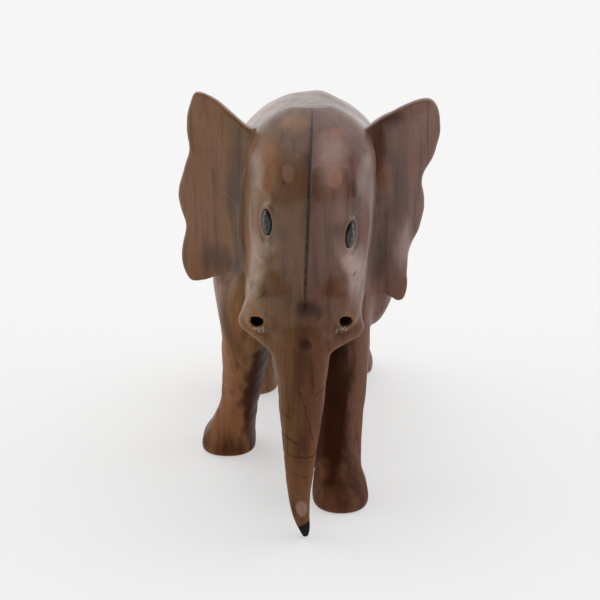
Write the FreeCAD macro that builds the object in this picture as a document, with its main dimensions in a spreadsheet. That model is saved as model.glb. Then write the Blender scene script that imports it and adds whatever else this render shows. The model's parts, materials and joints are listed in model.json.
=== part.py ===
"""Carved wooden elephant, walking, cut from one block of hardwood, with inlaid horn eyes.

Frame: +Z up, the animal faces -Y, its left side is +X. The origin is the middle of the
overall box at floor level. Millimetres throughout.

The carving is one solid: the maker cuts body, head, trunk, ears, legs and tail from one
block. The eyes, their pupils and the old glue in the two empty tusk sockets are separate.
"""
import FreeCAD, Part
import math
import os

doc = FreeCAD.newDocument("carved_elephant")

# ---------------------------------------------------------------- driving dimensions
# Each row is (name, value, what it sets). Millimetres, or degrees where the name says so.
DRIVING_SIZES = [
    ("body_length", 128.0, "chest to rump"),
    ("body_width", 76.0, "across the barrel"),
    ("body_depth", 98.0, "back to belly"),
    ("back_height", 139.5, "highest point of the back above the floor"),
    ("crest_rise", 10.5, "top of the skull above the back"),
    ("head_height", 74.0, "skull crest to the underside of the cheeks"),
    ("head_width", 43.5, "across the temples"),
    ("head_length", 51.0, "forehead to nape"),
    ("head_reach", 3.0, "middle of the head in front of the chest"),
    ("face_slope", 20.0, "how far the chin stands in front of the crest"),
    ("head_offset", 1.2, "the head sits this far to the animal's left"),
    ("neck_width", 50.0, "across the neck"),
    ("neck_depth", 72.0, "top to bottom of the neck"),
    ("neck_drop", 8.0, "top of the neck below the crest"),
    ("muzzle_offset", -1.4, "the trunk's root and the holes sit this far to the animal's left"),
    ("cheek_spread", 14.4, "middle of each tusk cheek from the middle of the face"),
    ("cheek_radius", 7.8, "how far each tusk cheek swells"),
    ("cheek_rise", 6.0, "middle of each tusk cheek above the chin"),
    ("jaw_width", 16.0, "across the lower jaw, behind the trunk"),
    ("jaw_length", 24.0, "lower jaw, front to back"),
    ("jaw_depth", 18.0, "lower jaw, top to bottom"),
    ("jaw_setback", 12.0, "middle of the lower jaw behind the trunk's root"),
    ("jaw_rise", 3.0, "middle of the lower jaw above the chin"),
    ("trunk_root_rise", 16.0, "trunk's root above the chin"),
    ("trunk_root_width", 25.0, "across the trunk where it leaves the face"),
    ("trunk_tip_gap", 1.6, "trunk tip above the floor"),
    ("trunk_reach", 22.0, "trunk tip in front of the trunk's root"),
    ("trunk_offset", -1.6, "the trunk tip hangs this far to the animal's left"),
    ("ear_height", 72.4, "top to bottom of an ear"),
    ("right_ear_width", 37.5, "outer edge of the right ear from its buried root"),
    ("left_ear_width", 40.3, "outer edge of the left ear from its buried root"),
    ("ear_thickness", 4.4, "ear blade, front to back"),
    ("ear_curl_radius", 62.0, "radius of the hollow in the front of an ear"),
    ("ear_setback", 8.0, "hollow face of an ear behind the head's middle"),
    ("ear_root_out", 10.0, "buried root of an ear from the middle plane"),
    ("ear_rise", 4.4, "top of the right ear above the crest"),
    ("left_ear_drop", 2.6, "the left ear sits this much lower"),
    ("thigh_radius", 14.2, "leg where it leaves the body"),
    ("shank_radius", 8.8, "thinnest part of a leg"),
    ("foot_radius", 11.2, "sole of a foot"),
    ("hip_drop", 14.0, "top of the legs below the middle of the barrel"),
    ("right_fore_hip_out", -22.0, "right foreleg at the body, to the left"),
    ("right_fore_foot_out", -31.4, "right forefoot, to the left"),
    ("right_fore_setback", 18.0, "right foreleg behind the chest"),
    ("right_fore_stride", 18.0, "right forefoot behind its hip"),
    ("left_fore_hip_out", 18.0, "left foreleg at the body, to the left"),
    ("left_fore_foot_out", 13.8, "left forefoot, to the left"),
    ("left_fore_setback", 16.0, "left foreleg behind the chest"),
    ("left_fore_stride", -24.0, "left forefoot behind its hip"),
    ("right_hind_hip_out", -22.0, "right hind leg at the body, to the left"),
    ("right_hind_foot_out", -23.0, "right hind foot, to the left"),
    ("right_hind_setback", 23.0, "right hind leg before the rump"),
    ("right_hind_stride", -8.0, "right hind foot behind its hip"),
    ("left_hind_hip_out", 22.0, "left hind leg at the body, to the left"),
    ("left_hind_foot_out", 22.0, "left hind foot, to the left"),
    ("left_hind_setback", 21.0, "left hind leg before the rump"),
    ("left_hind_stride", 13.0, "left hind foot behind its hip"),
    ("tail_radius", 3.2, "tail at its root"),
    ("tail_length", 74.0, "root to the end of the tuft"),
    ("tail_rise", 23.5, "root of the tail above the middle of the barrel"),
    ("socket_radius", 2.1, "drilled hole for a tusk peg"),
    ("socket_depth", 9.0, "straight wall of the drilled hole"),
    ("socket_rise", 3.8, "middle of the hole's mouth above the chin"),
    ("socket_spread", 15.9, "hole from the middle of the face, at its mouth"),
    ("socket_drop_deg", 18.0, "hole's axis points this far below level"),
    ("socket_splay_deg", 8.0, "hole's axis points this far outwards"),
    ("socket_face_radius", 3.6, "flat cut round the mouth of the hole"),
    ("drill_point_deg", 118.0, "full angle of the drill's point"),
    ("eye_height", 9.2, "eye inlay, top to bottom"),
    ("eye_length", 4.9, "eye inlay, front to back"),
    ("eye_seat", 1.5, "depth of the eye's recess"),
    ("eye_dome", 1.3, "how far the inlay is domed above its seat's rim"),
    ("eye_clearance", 0.05, "gap all round an eye inlay in its recess"),
    ("eye_spread", 14.6, "eye from the head's middle"),
    ("eye_turn_deg", 47.0, "an eye looks this far to the side"),
    ("right_eye_drop", 34.8, "right eye below the crest"),
    ("left_eye_drop", 39.4, "left eye below the crest"),
    ("pupil_radius", 1.15, "round pupil peg"),
    ("pupil_seat", 1.0, "depth of the pupil's hole, below the eye's dome"),
    ("pupil_proud", 0.15, "pupil peg above the eye's dome"),
    ("pupil_clearance", 0.02, "gap all round a pupil peg"),
]

# Shares of a mass's own sizes at stations along it.
# Barrel: (share from chest to rump, share of width, share of depth)
BARREL_STATIONS = [
    (0.000, 0.34, 0.42), (0.045, 0.62, 0.67), (0.150, 0.83, 0.86), (0.330, 0.95, 0.95),
    (0.545, 1.00, 1.00), (0.750, 0.98, 0.98), (0.885, 0.81, 0.83), (0.965, 0.53, 0.56),
    (1.000, 0.26, 0.30),
]
# Neck: (mm behind the chest, share of width, share of depth, mm above its middle)
NECK_STATIONS = [(-6, 0.72, 0.74, 3), (8, 0.96, 0.94, 0), (24, 0.98, 0.84, -5)]
# Head: (share from crest to chin, share of width, share of length, share of the slope)
HEAD_STATIONS = [
    (0.000, 0.28, 0.22, 0.00), (0.030, 0.56, 0.44, 0.02), (0.095, 0.78, 0.66, 0.07),
    (0.200, 0.92, 0.84, 0.17), (0.340, 1.00, 0.96, 0.27), (0.500, 1.00, 1.00, 0.35),
    (0.680, 0.98, 0.95, 0.48), (0.810, 0.90, 0.82, 0.65), (0.920, 0.74, 0.64, 0.85),
    (1.000, 0.44, 0.42, 1.00),
]
# Trunk: (share from root to tip, share of root width, depth over width, share of reach)
TRUNK_STATIONS = [
    (0.00, 0.96, 0.90, 0.00), (0.18, 0.98, 1.02, 0.08), (0.28, 0.84, 1.06, 0.19),
    (0.47, 0.66, 1.10, 0.38), (0.68, 0.47, 1.14, 0.60), (0.84, 0.33, 1.16, 0.77),
    (0.93, 0.23, 1.18, 0.89), (1.00, 0.10, 1.20, 1.00),
]
# Leg: (share of height from hip to floor, radius as shares of thigh, shank and foot,
# length over width). It starts as the muscle of shoulder or haunch, inside the barrel.
LEG_STATIONS = [
    (-0.42, 0.42, 0.00, 0.00, 1.20), (-0.22, 0.84, 0.00, 0.00, 1.35),
    (0.02, 1.00, 0.00, 0.00, 1.40), (0.26, 0.88, 0.00, 0.00, 1.22),
    (0.54, 0.00, 1.10, 0.00, 1.05), (0.76, 0.00, 1.00, 0.00, 1.00),
    (0.89, 0.00, 0.00, 0.97, 1.00), (0.96, 0.00, 0.00, 1.06, 1.02),
    (1.00, 0.00, 0.00, 0.98, 1.00),
]
# Tail: (share of length, radius share, mm behind the rump)
TAIL_STATIONS = [
    (0.00, 1.10, -6.0), (0.10, 1.05, 0.0), (0.30, 0.90, 2.8), (0.55, 0.75, 4.2),
    (0.72, 0.80, 4.9), (0.84, 1.25, 5.2), (0.94, 0.90, 5.2), (1.00, 0.25, 5.0),
]
# Ear outlines: (share of width from the buried root, share of height from the bottom)
RIGHT_EAR_OUTLINE = [
    (0.00, 0.84), (0.27, 0.83), (0.45, 0.90), (0.62, 0.97), (0.80, 1.00), (0.87, 0.93),
    (0.90, 0.82), (0.88, 0.70), (0.94, 0.60), (1.00, 0.48), (0.97, 0.38), (0.93, 0.30),
    (0.98, 0.17), (0.96, 0.07), (0.89, 0.00), (0.74, 0.01), (0.55, 0.06), (0.36, 0.13),
    (0.00, 0.16),
]
LEFT_EAR_OUTLINE = [
    (0.00, 0.84), (0.28, 0.84), (0.47, 0.92), (0.66, 0.98), (0.88, 1.00), (0.97, 0.96),
    (1.00, 0.87), (0.98, 0.78), (0.92, 0.69), (0.85, 0.62), (0.845, 0.54), (0.87, 0.46),
    (0.86, 0.38), (0.79, 0.31), (0.74, 0.23), (0.73, 0.12), (0.72, 0.02), (0.66, 0.00),
    (0.58, 0.03), (0.46, 0.07), (0.36, 0.14), (0.00, 0.18),
]

SLOPE_AT_MIDDLE = 0.35  # share of the face's slope at the head's middle
CREST_SHIFT = 1.6  # the crest leans this many times the head's offset
CHEEK_LENGTH, CHEEK_HEIGHT = 1.5, 1.15  # a cheek's half-sizes as shares of its radius
CHEEK_FORWARD = 2.0  # middle of a cheek in front of the trunk's root, mm
SOCKET_IN_CHEEK = 0.8  # mouth of the hole, as a share of the cheek's half-length
EAR_HOLLOW_AT = 0.62  # deepest line of an ear's hollow, as a share of its width
DRUM_HEIGHT, DRUM_DROP = 1.5, 1.25  # bending drums of an ear, as shares of its height
# Lengths of cutters that only have to reach past the wood, mm
EAR_PRISM_LENGTH = 60.0
SOCKET_FACE_REACH = 40.0
BORE_REACH = 1.0
EYE_RECESS_REACH = 4.0
PUPIL_HOLE_REACH = 3.0

# An eye's dome: (share of its height, share of the eye's half-sizes there)
DOME_STATIONS = [(0.0, 1.0), (0.45, 0.90), (0.80, 0.62), (1.0, 0.25)]

sheet = doc.addObject("Spreadsheet::Sheet", "Sizes")
for row, (name, value, meaning) in enumerate(DRIVING_SIZES, start=1):
    sheet.set(f"A{row}", meaning)
    sheet.set(f"B{row}", str(value))
    sheet.setAlias(f"B{row}", name)
sheet.recompute()

# How far the finished pieces move, so that the middle of their box's floor is the origin.
origin = doc.addObject("Spreadsheet::Sheet", "Origin")
for row, name in enumerate(("across", "back", "up"), start=1):
    origin.set(f"B{row}", "0")
    origin.setAlias(f"B{row}", name)
origin.recompute()

# Places that several masses share, written once as formulas over the cells above.
BARREL_UP = "(Sizes.back_height - Sizes.body_depth / 2)"
CREST_UP = "(Sizes.back_height + Sizes.crest_rise)"
CHEST_BACK = "(-Sizes.body_length / 2)"
RUMP_BACK = "(Sizes.body_length / 2)"
HIP_UP = f"({BARREL_UP} - Sizes.hip_drop)"
CHIN_UP = f"({CREST_UP} - Sizes.head_height)"
HEAD_BACK = f"({CHEST_BACK} - Sizes.head_reach + Sizes.face_slope * {SLOPE_AT_MIDDLE})"
TRUNK_ROOT_UP = f"({CHIN_UP} + Sizes.trunk_root_rise)"
TRUNK_ROOT_BACK = f"({HEAD_BACK} - Sizes.face_slope)"
CHEEK_BACK = f"({TRUNK_ROOT_BACK} - {CHEEK_FORWARD})"
SOCKET_UP = f"({CHIN_UP} + Sizes.socket_rise)"


def bind(feature, **formulas):
    """Binds a feature's properties to formulas; two underscores stand for a dot."""
    for name, formula in formulas.items():
        feature.setExpression(name.replace("__", "."), str(formula))


def place(feature, across, back, up):
    """Binds the place of a feature: across is +X, back is +Y, up is +Z."""
    bind(feature, Placement__Base__x=across, Placement__Base__y=back, Placement__Base__z=up)


def seat(feature, across=0, back=0, up=0):
    """Binds the place of a finished piece, moved so that the whole box stands on the origin."""
    place(feature, f"{across} + Origin.across", f"{back} + Origin.back", f"{up} + Origin.up")


def round_section():
    """A smooth closed curve of radius 1 mm, through points on a circle."""
    turns = [2 * math.pi * n / SECTION_POINTS for n in range(SECTION_POINTS)]
    curve = Part.BSplineCurve()
    points = [FreeCAD.Vector(math.cos(turn), math.sin(turn), 0) for turn in turns]
    curve.interpolate(points, PeriodicFlag=True)
    feature = doc.addObject("Part::Feature", "unit_circle")
    feature.Shape = Part.Wire([Part.Edge(curve)])
    return feature


SECTION_POINTS = 8
SWELLING_TURNS_DEG = (-80, -55, -28, 0, 28, 55, 80)
unit_circle = round_section()
UPRIGHT = FreeCAD.Rotation(FreeCAD.Vector(1, 0, 0), 90)  # turns a level oval to face back


def scaled(base, label, half_sizes, centre, turn=FreeCAD.Rotation()):
    """A copy of a unit shape, stretched to half_sizes (x, y, z), turned and put at centre."""
    feature = doc.addObject("Part::Scale", label)
    feature.Label = label
    feature.Base = base
    feature.Uniform = False
    feature.Placement = FreeCAD.Placement(FreeCAD.Vector(), turn)
    bind(feature, XScale=half_sizes[0], YScale=half_sizes[1], ZScale=half_sizes[2])
    place(feature, *centre)
    return feature


def level_oval(label, half_width, half_length, centre):
    return scaled(unit_circle, label, (half_width, half_length, 1), centre)


def upright_oval(label, half_width, half_depth, centre):
    return scaled(unit_circle, label, (half_width, half_depth, 1), centre, UPRIGHT)


def swelling(label, half_sizes, centre):
    """An egg of wood: level ovals whose sizes follow a circle, with small flat ends."""
    across, along, height = half_sizes
    ovals = []
    for n, turn in enumerate(SWELLING_TURNS_DEG):
        narrow, rise = math.cos(math.radians(turn)), math.sin(math.radians(turn))
        middle = (centre[0], centre[1], f"({centre[2]}) + ({height}) * {rise:.4f}")
        half_width, half_length = f"({across}) * {narrow:.4f}", f"({along}) * {narrow:.4f}"
        ovals.append(level_oval(f"{label}_oval_{n}", half_width, half_length, middle))
    return loft(label, ovals)


def loft(label, ovals):
    feature = doc.addObject("Part::Loft", label)
    feature.Label = label
    feature.Sections = ovals
    feature.Solid = True
    feature.Ruled = False
    return feature


def combine(kind, label, features):
    """A fuse or common of several features."""
    feature = doc.addObject(kind, label)
    feature.Label = label
    feature.Shapes = features
    feature.Refine = False
    return feature


def pair(kind, label, base, tool):
    """A fuse or cut of two features."""
    feature = doc.addObject(kind, label)
    feature.Label = label
    feature.Base = base
    feature.Tool = tool
    feature.Refine = False
    return feature


# ---------------------------------------------------------------- masses of the carving
def barrel():
    ovals = [
        upright_oval(
            f"barrel_oval_{n}",
            f"Sizes.body_width / 2 * {width}",
            f"Sizes.body_depth / 2 * {depth}",
            (0, f"Sizes.body_length * ({share} - 0.5)", BARREL_UP),
        )
        for n, (share, width, depth) in enumerate(BARREL_STATIONS)
    ]
    return loft("barrel", ovals)


def neck():
    """Joins the skull to the shoulders."""
    up = f"({CREST_UP} - Sizes.neck_depth / 2 - Sizes.neck_drop)"
    ovals = [
        upright_oval(
            f"neck_oval_{n}",
            f"Sizes.neck_width / 2 * {width}",
            f"Sizes.neck_depth / 2 * {depth}",
            (0, f"{CHEST_BACK} + {back}", f"{up} + {rise}"),
        )
        for n, (back, width, depth, rise) in enumerate(NECK_STATIONS)
    ]
    return loft("neck", ovals)


def head():
    ovals = [
        level_oval(
            f"head_oval_{n}",
            f"Sizes.head_width / 2 * {width}",
            f"Sizes.head_length / 2 * {length}",
            (
                f"Sizes.head_offset * {CREST_SHIFT} * (1 - {share})",
                f"{HEAD_BACK} - Sizes.face_slope * {slope}",
                f"{CREST_UP} - Sizes.head_height * {share}",
            ),
        )
        for n, (share, width, length, slope) in enumerate(HEAD_STATIONS)
    ]
    return loft("head", ovals)


def trunk():
    ovals = [
        level_oval(
            f"trunk_oval_{n}",
            f"Sizes.trunk_root_width / 2 * {width}",
            f"Sizes.trunk_root_width / 2 * {width * deeper}",
            (
                f"Sizes.muzzle_offset + (Sizes.trunk_offset - Sizes.muzzle_offset) * {share}",
                f"{TRUNK_ROOT_BACK} - Sizes.trunk_reach * {reach}",
                f"{TRUNK_ROOT_UP} - ({TRUNK_ROOT_UP} - Sizes.trunk_tip_gap) * {share}",
            ),
        )
        for n, (share, width, deeper, reach) in enumerate(TRUNK_STATIONS)
    ]
    return loft("trunk", ovals)


def leg(name, end):
    """One leg. end is the formula for its hip's place along the body."""
    hip, foot = f"Sizes.{name}_hip_out", f"Sizes.{name}_foot_out"
    ovals = []
    for n, (share, thigh, shank, sole, longer) in enumerate(LEG_STATIONS):
        radius = (
            f"(Sizes.thigh_radius * {thigh} + Sizes.shank_radius * {shank}"
            f" + Sizes.foot_radius * {sole})"
        )
        centre = (
            f"{hip} + ({foot} - {hip}) * {share}",
            f"{end} + Sizes.{name}_stride * {share}",
            f"{HIP_UP} * {1 - share}",
        )
        ovals.append(level_oval(f"{name}_oval_{n}", radius, f"{radius} * {longer}", centre))
    return loft(f"{name}_leg", ovals)


def tail():
    top = f"({BARREL_UP} + Sizes.tail_rise)"
    ovals = [
        level_oval(
            f"tail_oval_{n}",
            f"Sizes.tail_radius * {radius}",
            f"Sizes.tail_radius * {radius}",
            (0, f"{RUMP_BACK} + {behind}", f"{top} - Sizes.tail_length * {share}"),
        )
        for n, (share, radius, behind) in enumerate(TAIL_STATIONS)
    ]
    return loft("tail", ovals)


def jaw():
    half_sizes = ("Sizes.jaw_width / 2", "Sizes.jaw_length / 2", "Sizes.jaw_depth / 2")
    middle = (0, f"{TRUNK_ROOT_BACK} + Sizes.jaw_setback", f"{CHIN_UP} + Sizes.jaw_rise")
    return swelling("jaw", half_sizes, middle)


def cheek(side, label):
    """The swelling that carries a tusk socket. side is -1 for the animal's right."""
    swell = "Sizes.cheek_radius"
    out = f"Sizes.muzzle_offset + {side} * Sizes.cheek_spread"
    middle = (out, CHEEK_BACK, f"{CHIN_UP} + Sizes.cheek_rise")
    half_sizes = (swell, f"{swell} * {CHEEK_LENGTH}", f"{swell} * {CHEEK_HEIGHT}")
    return swelling(label, half_sizes, middle)


def ear(side, label, outline, width, drop):
    """An ear blade: its outline cut through a sheet that is bent round an upright axis."""
    points = [FreeCAD.Vector(side * out, 0, up) for out, up in outline]
    rim = Part.BSplineCurve()
    rim.interpolate(points)
    edge = Part.Edge(rim)
    root = Part.makeLine(points[-1], points[0])
    profile = doc.addObject("Part::Feature", f"{label}_outline")
    profile.Label = f"{label}_outline"
    profile.Shape = Part.Face(Part.Wire([edge, root]))
    sized = doc.addObject("Part::Scale", f"{label}_face")
    sized.Base = profile
    sized.Uniform = False
    bind(sized, XScale=width, YScale=1, ZScale="Sizes.ear_height")
    blade_back = f"({HEAD_BACK} + Sizes.ear_setback)"
    top = f"({CREST_UP} + Sizes.ear_rise - {drop})"
    place(
        sized, f"{side} * Sizes.ear_root_out", f"{blade_back} - {EAR_PRISM_LENGTH / 2}",
        f"{top} - Sizes.ear_height",
    )
    prism = doc.addObject("Part::Extrusion", f"{label}_prism")
    prism.Base = sized
    prism.Dir = FreeCAD.Vector(0, 1, 0)
    prism.LengthFwd = EAR_PRISM_LENGTH
    prism.Solid = True
    drums = []
    for name, radius in (
        ("hollow", "Sizes.ear_curl_radius"), ("back", "Sizes.ear_curl_radius + Sizes.ear_thickness")
    ):
        drum = rod(f"{label}_{name}_drum", radius, f"Sizes.ear_height * {DRUM_HEIGHT}")
        place(
            drum, f"{side} * (Sizes.ear_root_out + {width} * {EAR_HOLLOW_AT})",
            f"{blade_back} - Sizes.ear_curl_radius", f"{top} - Sizes.ear_height * {DRUM_DROP}",
        )
        drums.append(drum)
    sheet_bend = pair("Part::Cut", f"{label}_sheet", drums[1], drums[0])
    return combine("Part::MultiCommon", label, [prism, sheet_bend])


# ---------------------------------------------------------------- cut and inlaid pieces
def frame_along(direction, upward=FreeCAD.Vector(0, 0, 1)):
    """The turn that carries local +Z onto direction and local +Y as near upward as it can."""
    out = FreeCAD.Vector(direction).normalize()
    side = upward.cross(out).normalize()
    high = out.cross(side)
    return FreeCAD.Rotation(FreeCAD.Matrix(
        side.x, high.x, out.x, 0, side.y, high.y, out.y, 0, side.z, high.z, out.z, 0, 0, 0, 0, 1
    ))


def socket_frame(side):
    """The socket's turn: local +Z is the way a tusk leaves."""
    drop, splay = math.radians(sheet.socket_drop_deg), math.radians(sheet.socket_splay_deg)
    return frame_along(FreeCAD.Vector(
        side * math.sin(splay) * math.cos(drop), -math.cos(splay) * math.cos(drop), -math.sin(drop)
    ))


def eye_frame(side):
    """The eye's turn: local +Z is the way the eye looks."""
    turn = math.radians(sheet.eye_turn_deg)
    return frame_along(FreeCAD.Vector(side * math.sin(turn), -math.cos(turn), 0.0))


def aimed(label, pieces, turn, centre, placing=place):
    """Joins pieces built along local +Z, and aims that +Z with turn from centre."""
    if len(pieces) > 1:
        feature = combine("Part::MultiFuse", label, pieces)
    else:
        feature = doc.addObject("Part::Compound", label)
        feature.Label = label
        feature.Links = pieces
    feature.Placement = FreeCAD.Placement(FreeCAD.Vector(), turn)
    placing(feature, *centre)
    return feature


def rod(label, radius, length, start="0"):
    feature = doc.addObject("Part::Cylinder", label)
    bind(feature, Radius=f"({radius}) * 1 mm", Height=f"({length}) * 1 mm")
    bind(feature, Placement__Base__z=start)
    return feature


def socket_centre(side):
    return (
        f"Sizes.muzzle_offset + {side} * Sizes.socket_spread",
        f"{CHEEK_BACK} - Sizes.cheek_radius * {CHEEK_LENGTH * SOCKET_IN_CHEEK}",
        SOCKET_UP,
    )


def drill_cone(label, radius):
    """The cone that the drill's point leaves below the straight wall."""
    half = "Sizes.drill_point_deg / 2"
    feature = doc.addObject("Part::Cone", label)
    height = f"({radius}) / tan({half})"
    bind(feature, Radius1="0 mm", Radius2=f"({radius}) * 1 mm", Height=f"({height}) * 1 mm")
    bind(feature, Placement__Base__z=f"-Sizes.socket_depth - {height}")
    return feature


def socket_cutter(side, label):
    """Everything the maker cut away for one tusk: the flat face, the bore, the drill point."""
    face = rod(f"{label}_face", "Sizes.socket_face_radius", SOCKET_FACE_REACH)
    bore_length = f"Sizes.socket_depth + {BORE_REACH}"
    bore = rod(f"{label}_bore", "Sizes.socket_radius", bore_length, "-Sizes.socket_depth")
    point = drill_cone(f"{label}_point", "Sizes.socket_radius")
    return aimed(label, [face, bore, point], socket_frame(side), socket_centre(side))


def socket_glue(side, label):
    """Old glue left in the drill point."""
    cone = drill_cone(f"{label}_cone", "Sizes.socket_radius")
    return aimed(label, [cone], socket_frame(side), socket_centre(side), seat)


def eye_centre(side, drop):
    """The middle of an eye's rim, on the skull's skin."""
    depth = (
        "Sizes.head_length / 2 * sqrt(1 - (Sizes.eye_spread / (Sizes.head_width / 2))^2)"
    )
    return (
        f"Sizes.head_offset + {side} * Sizes.eye_spread",
        f"{HEAD_BACK} - Sizes.face_slope * {SLOPE_AT_MIDDLE} - {depth}",
        f"{CREST_UP} - {drop}",
    )


def eye_plug(label, grow, length):
    """An oval plug up from the bottom of its recess, in its own frame: local +Y is up the face."""
    half_sizes = (f"(Sizes.eye_length / 2 + {grow})", f"(Sizes.eye_height / 2 + {grow})", 1)
    rim = scaled(unit_circle, f"{label}_rim", half_sizes, (0, 0, "-Sizes.eye_seat"))
    plug = doc.addObject("Part::Extrusion", f"{label}_plug")
    plug.Base = rim
    plug.Dir = FreeCAD.Vector(0, 0, 1)
    plug.Solid = True
    bind(plug, LengthFwd=f"({length}) * 1 mm")
    return plug


def eye_recess(side, label, drop):
    """The oval pocket, open outwards."""
    plug = eye_plug(label, "Sizes.eye_clearance", f"Sizes.eye_seat + {EYE_RECESS_REACH}")
    return aimed(label, [plug], eye_frame(side), eye_centre(side, drop))


def pupil_rod(label, grow, top):
    start = "Sizes.eye_dome - Sizes.pupil_seat"
    return rod(label, f"Sizes.pupil_radius + {grow}", f"Sizes.pupil_seat + {top}", start)


def eye(side, label, drop):
    """Horn inlay: the plug with a dome, less the hole for its pupil."""
    plug = eye_plug(label, "0", "Sizes.eye_seat")
    ovals = [
        level_oval(
            f"{label}_oval_{n}", f"Sizes.eye_length / 2 * {share}",
            f"Sizes.eye_height / 2 * {share}", (0, 0, f"Sizes.eye_dome * {above}"),
        )
        for n, (above, share) in enumerate(DOME_STATIONS)
    ]
    blank = pair("Part::Fuse", f"{label}_blank", plug, loft(f"{label}_dome", ovals))
    hole = pupil_rod(f"{label}_hole", "Sizes.pupil_clearance", PUPIL_HOLE_REACH)
    bored = pair("Part::Cut", f"{label}_bored", blank, hole)
    return aimed(label, [bored], eye_frame(side), eye_centre(side, drop), seat)


def pupil(side, label, drop):
    peg = pupil_rod(f"{label}_peg", "0", "Sizes.pupil_proud")
    return aimed(label, [peg], eye_frame(side), eye_centre(side, drop), seat)


# ---------------------------------------------------------------- assembly
RIGHT, LEFT = -1, 1
EYE_DROPS = {RIGHT: "Sizes.right_eye_drop", LEFT: "Sizes.left_eye_drop"}
SIDE_NAMES = {RIGHT: "right", LEFT: "left"}

masses = [barrel(), neck(), head(), tail(), jaw()]
masses += [cheek(side, f"{SIDE_NAMES[side]}_cheek") for side in (RIGHT, LEFT)]
masses.append(ear(RIGHT, "right_ear", RIGHT_EAR_OUTLINE, "Sizes.right_ear_width", "0"))
masses.append(ear(LEFT, "left_ear", LEFT_EAR_OUTLINE, "Sizes.left_ear_width", "Sizes.left_ear_drop"))
LEG_ENDS = {
    "right_fore": f"({CHEST_BACK} + Sizes.right_fore_setback)",
    "left_fore": f"({CHEST_BACK} + Sizes.left_fore_setback)",
    "right_hind": f"({RUMP_BACK} - Sizes.right_hind_setback)",
    "left_hind": f"({RUMP_BACK} - Sizes.left_hind_setback)",
}
for name, end in LEG_ENDS.items():
    masses.append(leg(name, end))
masses.append(trunk())  # last, so that its root joins the finished jaw and cheeks
block = masses[0]
for mass in masses[1:]:
    block = pair("Part::Fuse", f"block_with_{mass.Label}", block, mass)

cutters = []
for side, name in SIDE_NAMES.items():
    cutters.append(socket_cutter(side, f"{name}_socket_cutter"))
    cutters.append(eye_recess(side, f"{name}_eye_recess", EYE_DROPS[side]))
for cutter in cutters[:-1]:
    block = pair("Part::Cut", f"block_less_{cutter.Label}", block, cutter)
carved_body = pair("Part::Cut", "carved_body", block, cutters[-1])
seat(carved_body)

nodes = [carved_body]
for side, name in SIDE_NAMES.items():
    nodes.append(eye(side, f"{name}_eye", EYE_DROPS[side]))
    nodes.append(pupil(side, f"{name}_pupil", EYE_DROPS[side]))
    nodes.append(socket_glue(side, f"{name}_socket_glue"))


def recompute():
    """Recomputes the document and stops at any feature that failed."""
    doc.recompute()
    for feature in doc.Objects:
        if {"Invalid", "Error"} & set(feature.State):
            raise RuntimeError(f"{feature.Label} failed: {feature.State}")


recompute()
box = carved_body.Shape.optimalBoundingBox(True, False)
for cell, shift in (("B1", -box.Center.x), ("B2", -box.Center.y), ("B3", -box.ZMin)):
    origin.set(cell, str(round(shift, 3)))
recompute()

# ---------------------------------------------------------------- export
os.makedirs("parts", exist_ok=True)
for node in nodes:
    solids = node.Shape.Solids
    if node.Shape.isNull() or not node.Shape.isValid() or len(solids) != 1:
        raise RuntimeError(f"{node.Label} is not one valid solid")
    solids[0].exportStep(os.path.join("parts", f"{node.Label}.step"))
    print(node.Label, round(solids[0].Volume, 2), solids[0].optimalBoundingBox(True, False))
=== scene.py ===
"""Carved wooden elephant: the carving, its inlaid eyes, its empty tusk sockets and a pale stage.

The carving is one block of wood, so it is shaped as one field of distances to the cut surface,
the way a carver roughs out masses, blends them, and then cuts the detail. Lengths in the carving
code are millimetres in the carver's frame: x to the animal's left, y to its rump, z up.
"""
import json
import math

import bmesh
import bpy
import numpy as np
import openvdb
from bpy.props import FloatProperty, FloatVectorProperty, IntProperty, PointerProperty
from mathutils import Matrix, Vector


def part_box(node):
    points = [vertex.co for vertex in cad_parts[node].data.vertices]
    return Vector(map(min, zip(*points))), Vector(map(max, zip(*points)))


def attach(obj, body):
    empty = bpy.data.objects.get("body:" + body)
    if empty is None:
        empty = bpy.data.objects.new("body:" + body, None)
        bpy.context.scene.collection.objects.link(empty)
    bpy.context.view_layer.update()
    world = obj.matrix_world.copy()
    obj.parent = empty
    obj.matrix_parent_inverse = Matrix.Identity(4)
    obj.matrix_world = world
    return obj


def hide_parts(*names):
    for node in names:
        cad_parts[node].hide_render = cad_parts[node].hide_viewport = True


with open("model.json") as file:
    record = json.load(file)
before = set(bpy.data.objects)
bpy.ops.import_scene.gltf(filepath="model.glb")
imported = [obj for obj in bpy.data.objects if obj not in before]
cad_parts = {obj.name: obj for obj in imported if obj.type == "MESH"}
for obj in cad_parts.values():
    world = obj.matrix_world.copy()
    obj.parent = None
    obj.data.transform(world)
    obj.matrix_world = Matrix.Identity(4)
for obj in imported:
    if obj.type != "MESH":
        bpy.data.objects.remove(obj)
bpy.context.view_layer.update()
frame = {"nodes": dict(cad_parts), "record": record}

bl_info = {
    "name": "Carved elephant",
    "version": (1, 0, 0),
    "blender": (4, 5, 0),
    "location": "View3D > Sidebar > Carving",
    "description": "Carves a walking elephant in striped hardwood around its packed frame",
    "category": "Object",
}

MM = 0.001
BODY = "root"
RIGHT, LEFT = -1, 1
SIDES = {RIGHT: "right", LEFT: "left"}
MOUNTS = {mount["name"]: mount for mount in frame["record"]["mounts"]}

# The carver's frame: between the tusk sockets, on the floor, with y counted from the trunk's tip.
MUZZLE_SHIFT = -1.4
TRUNK_TIP_BACK = -88.0


def carver_datum():
    """Where the carver's zero lies in the frame, in millimetres."""
    mouths = [MOUNTS[f"{name}_tusk_socket"]["pos_m"] for name in SIDES.values()]
    across = sum(mouth[0] for mouth in mouths) / len(mouths) / MM - MUZZLE_SHIFT
    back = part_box("carved_body")[0][1] / MM - TRUNK_TIP_BACK
    return np.array((across, back, 0.0))


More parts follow.
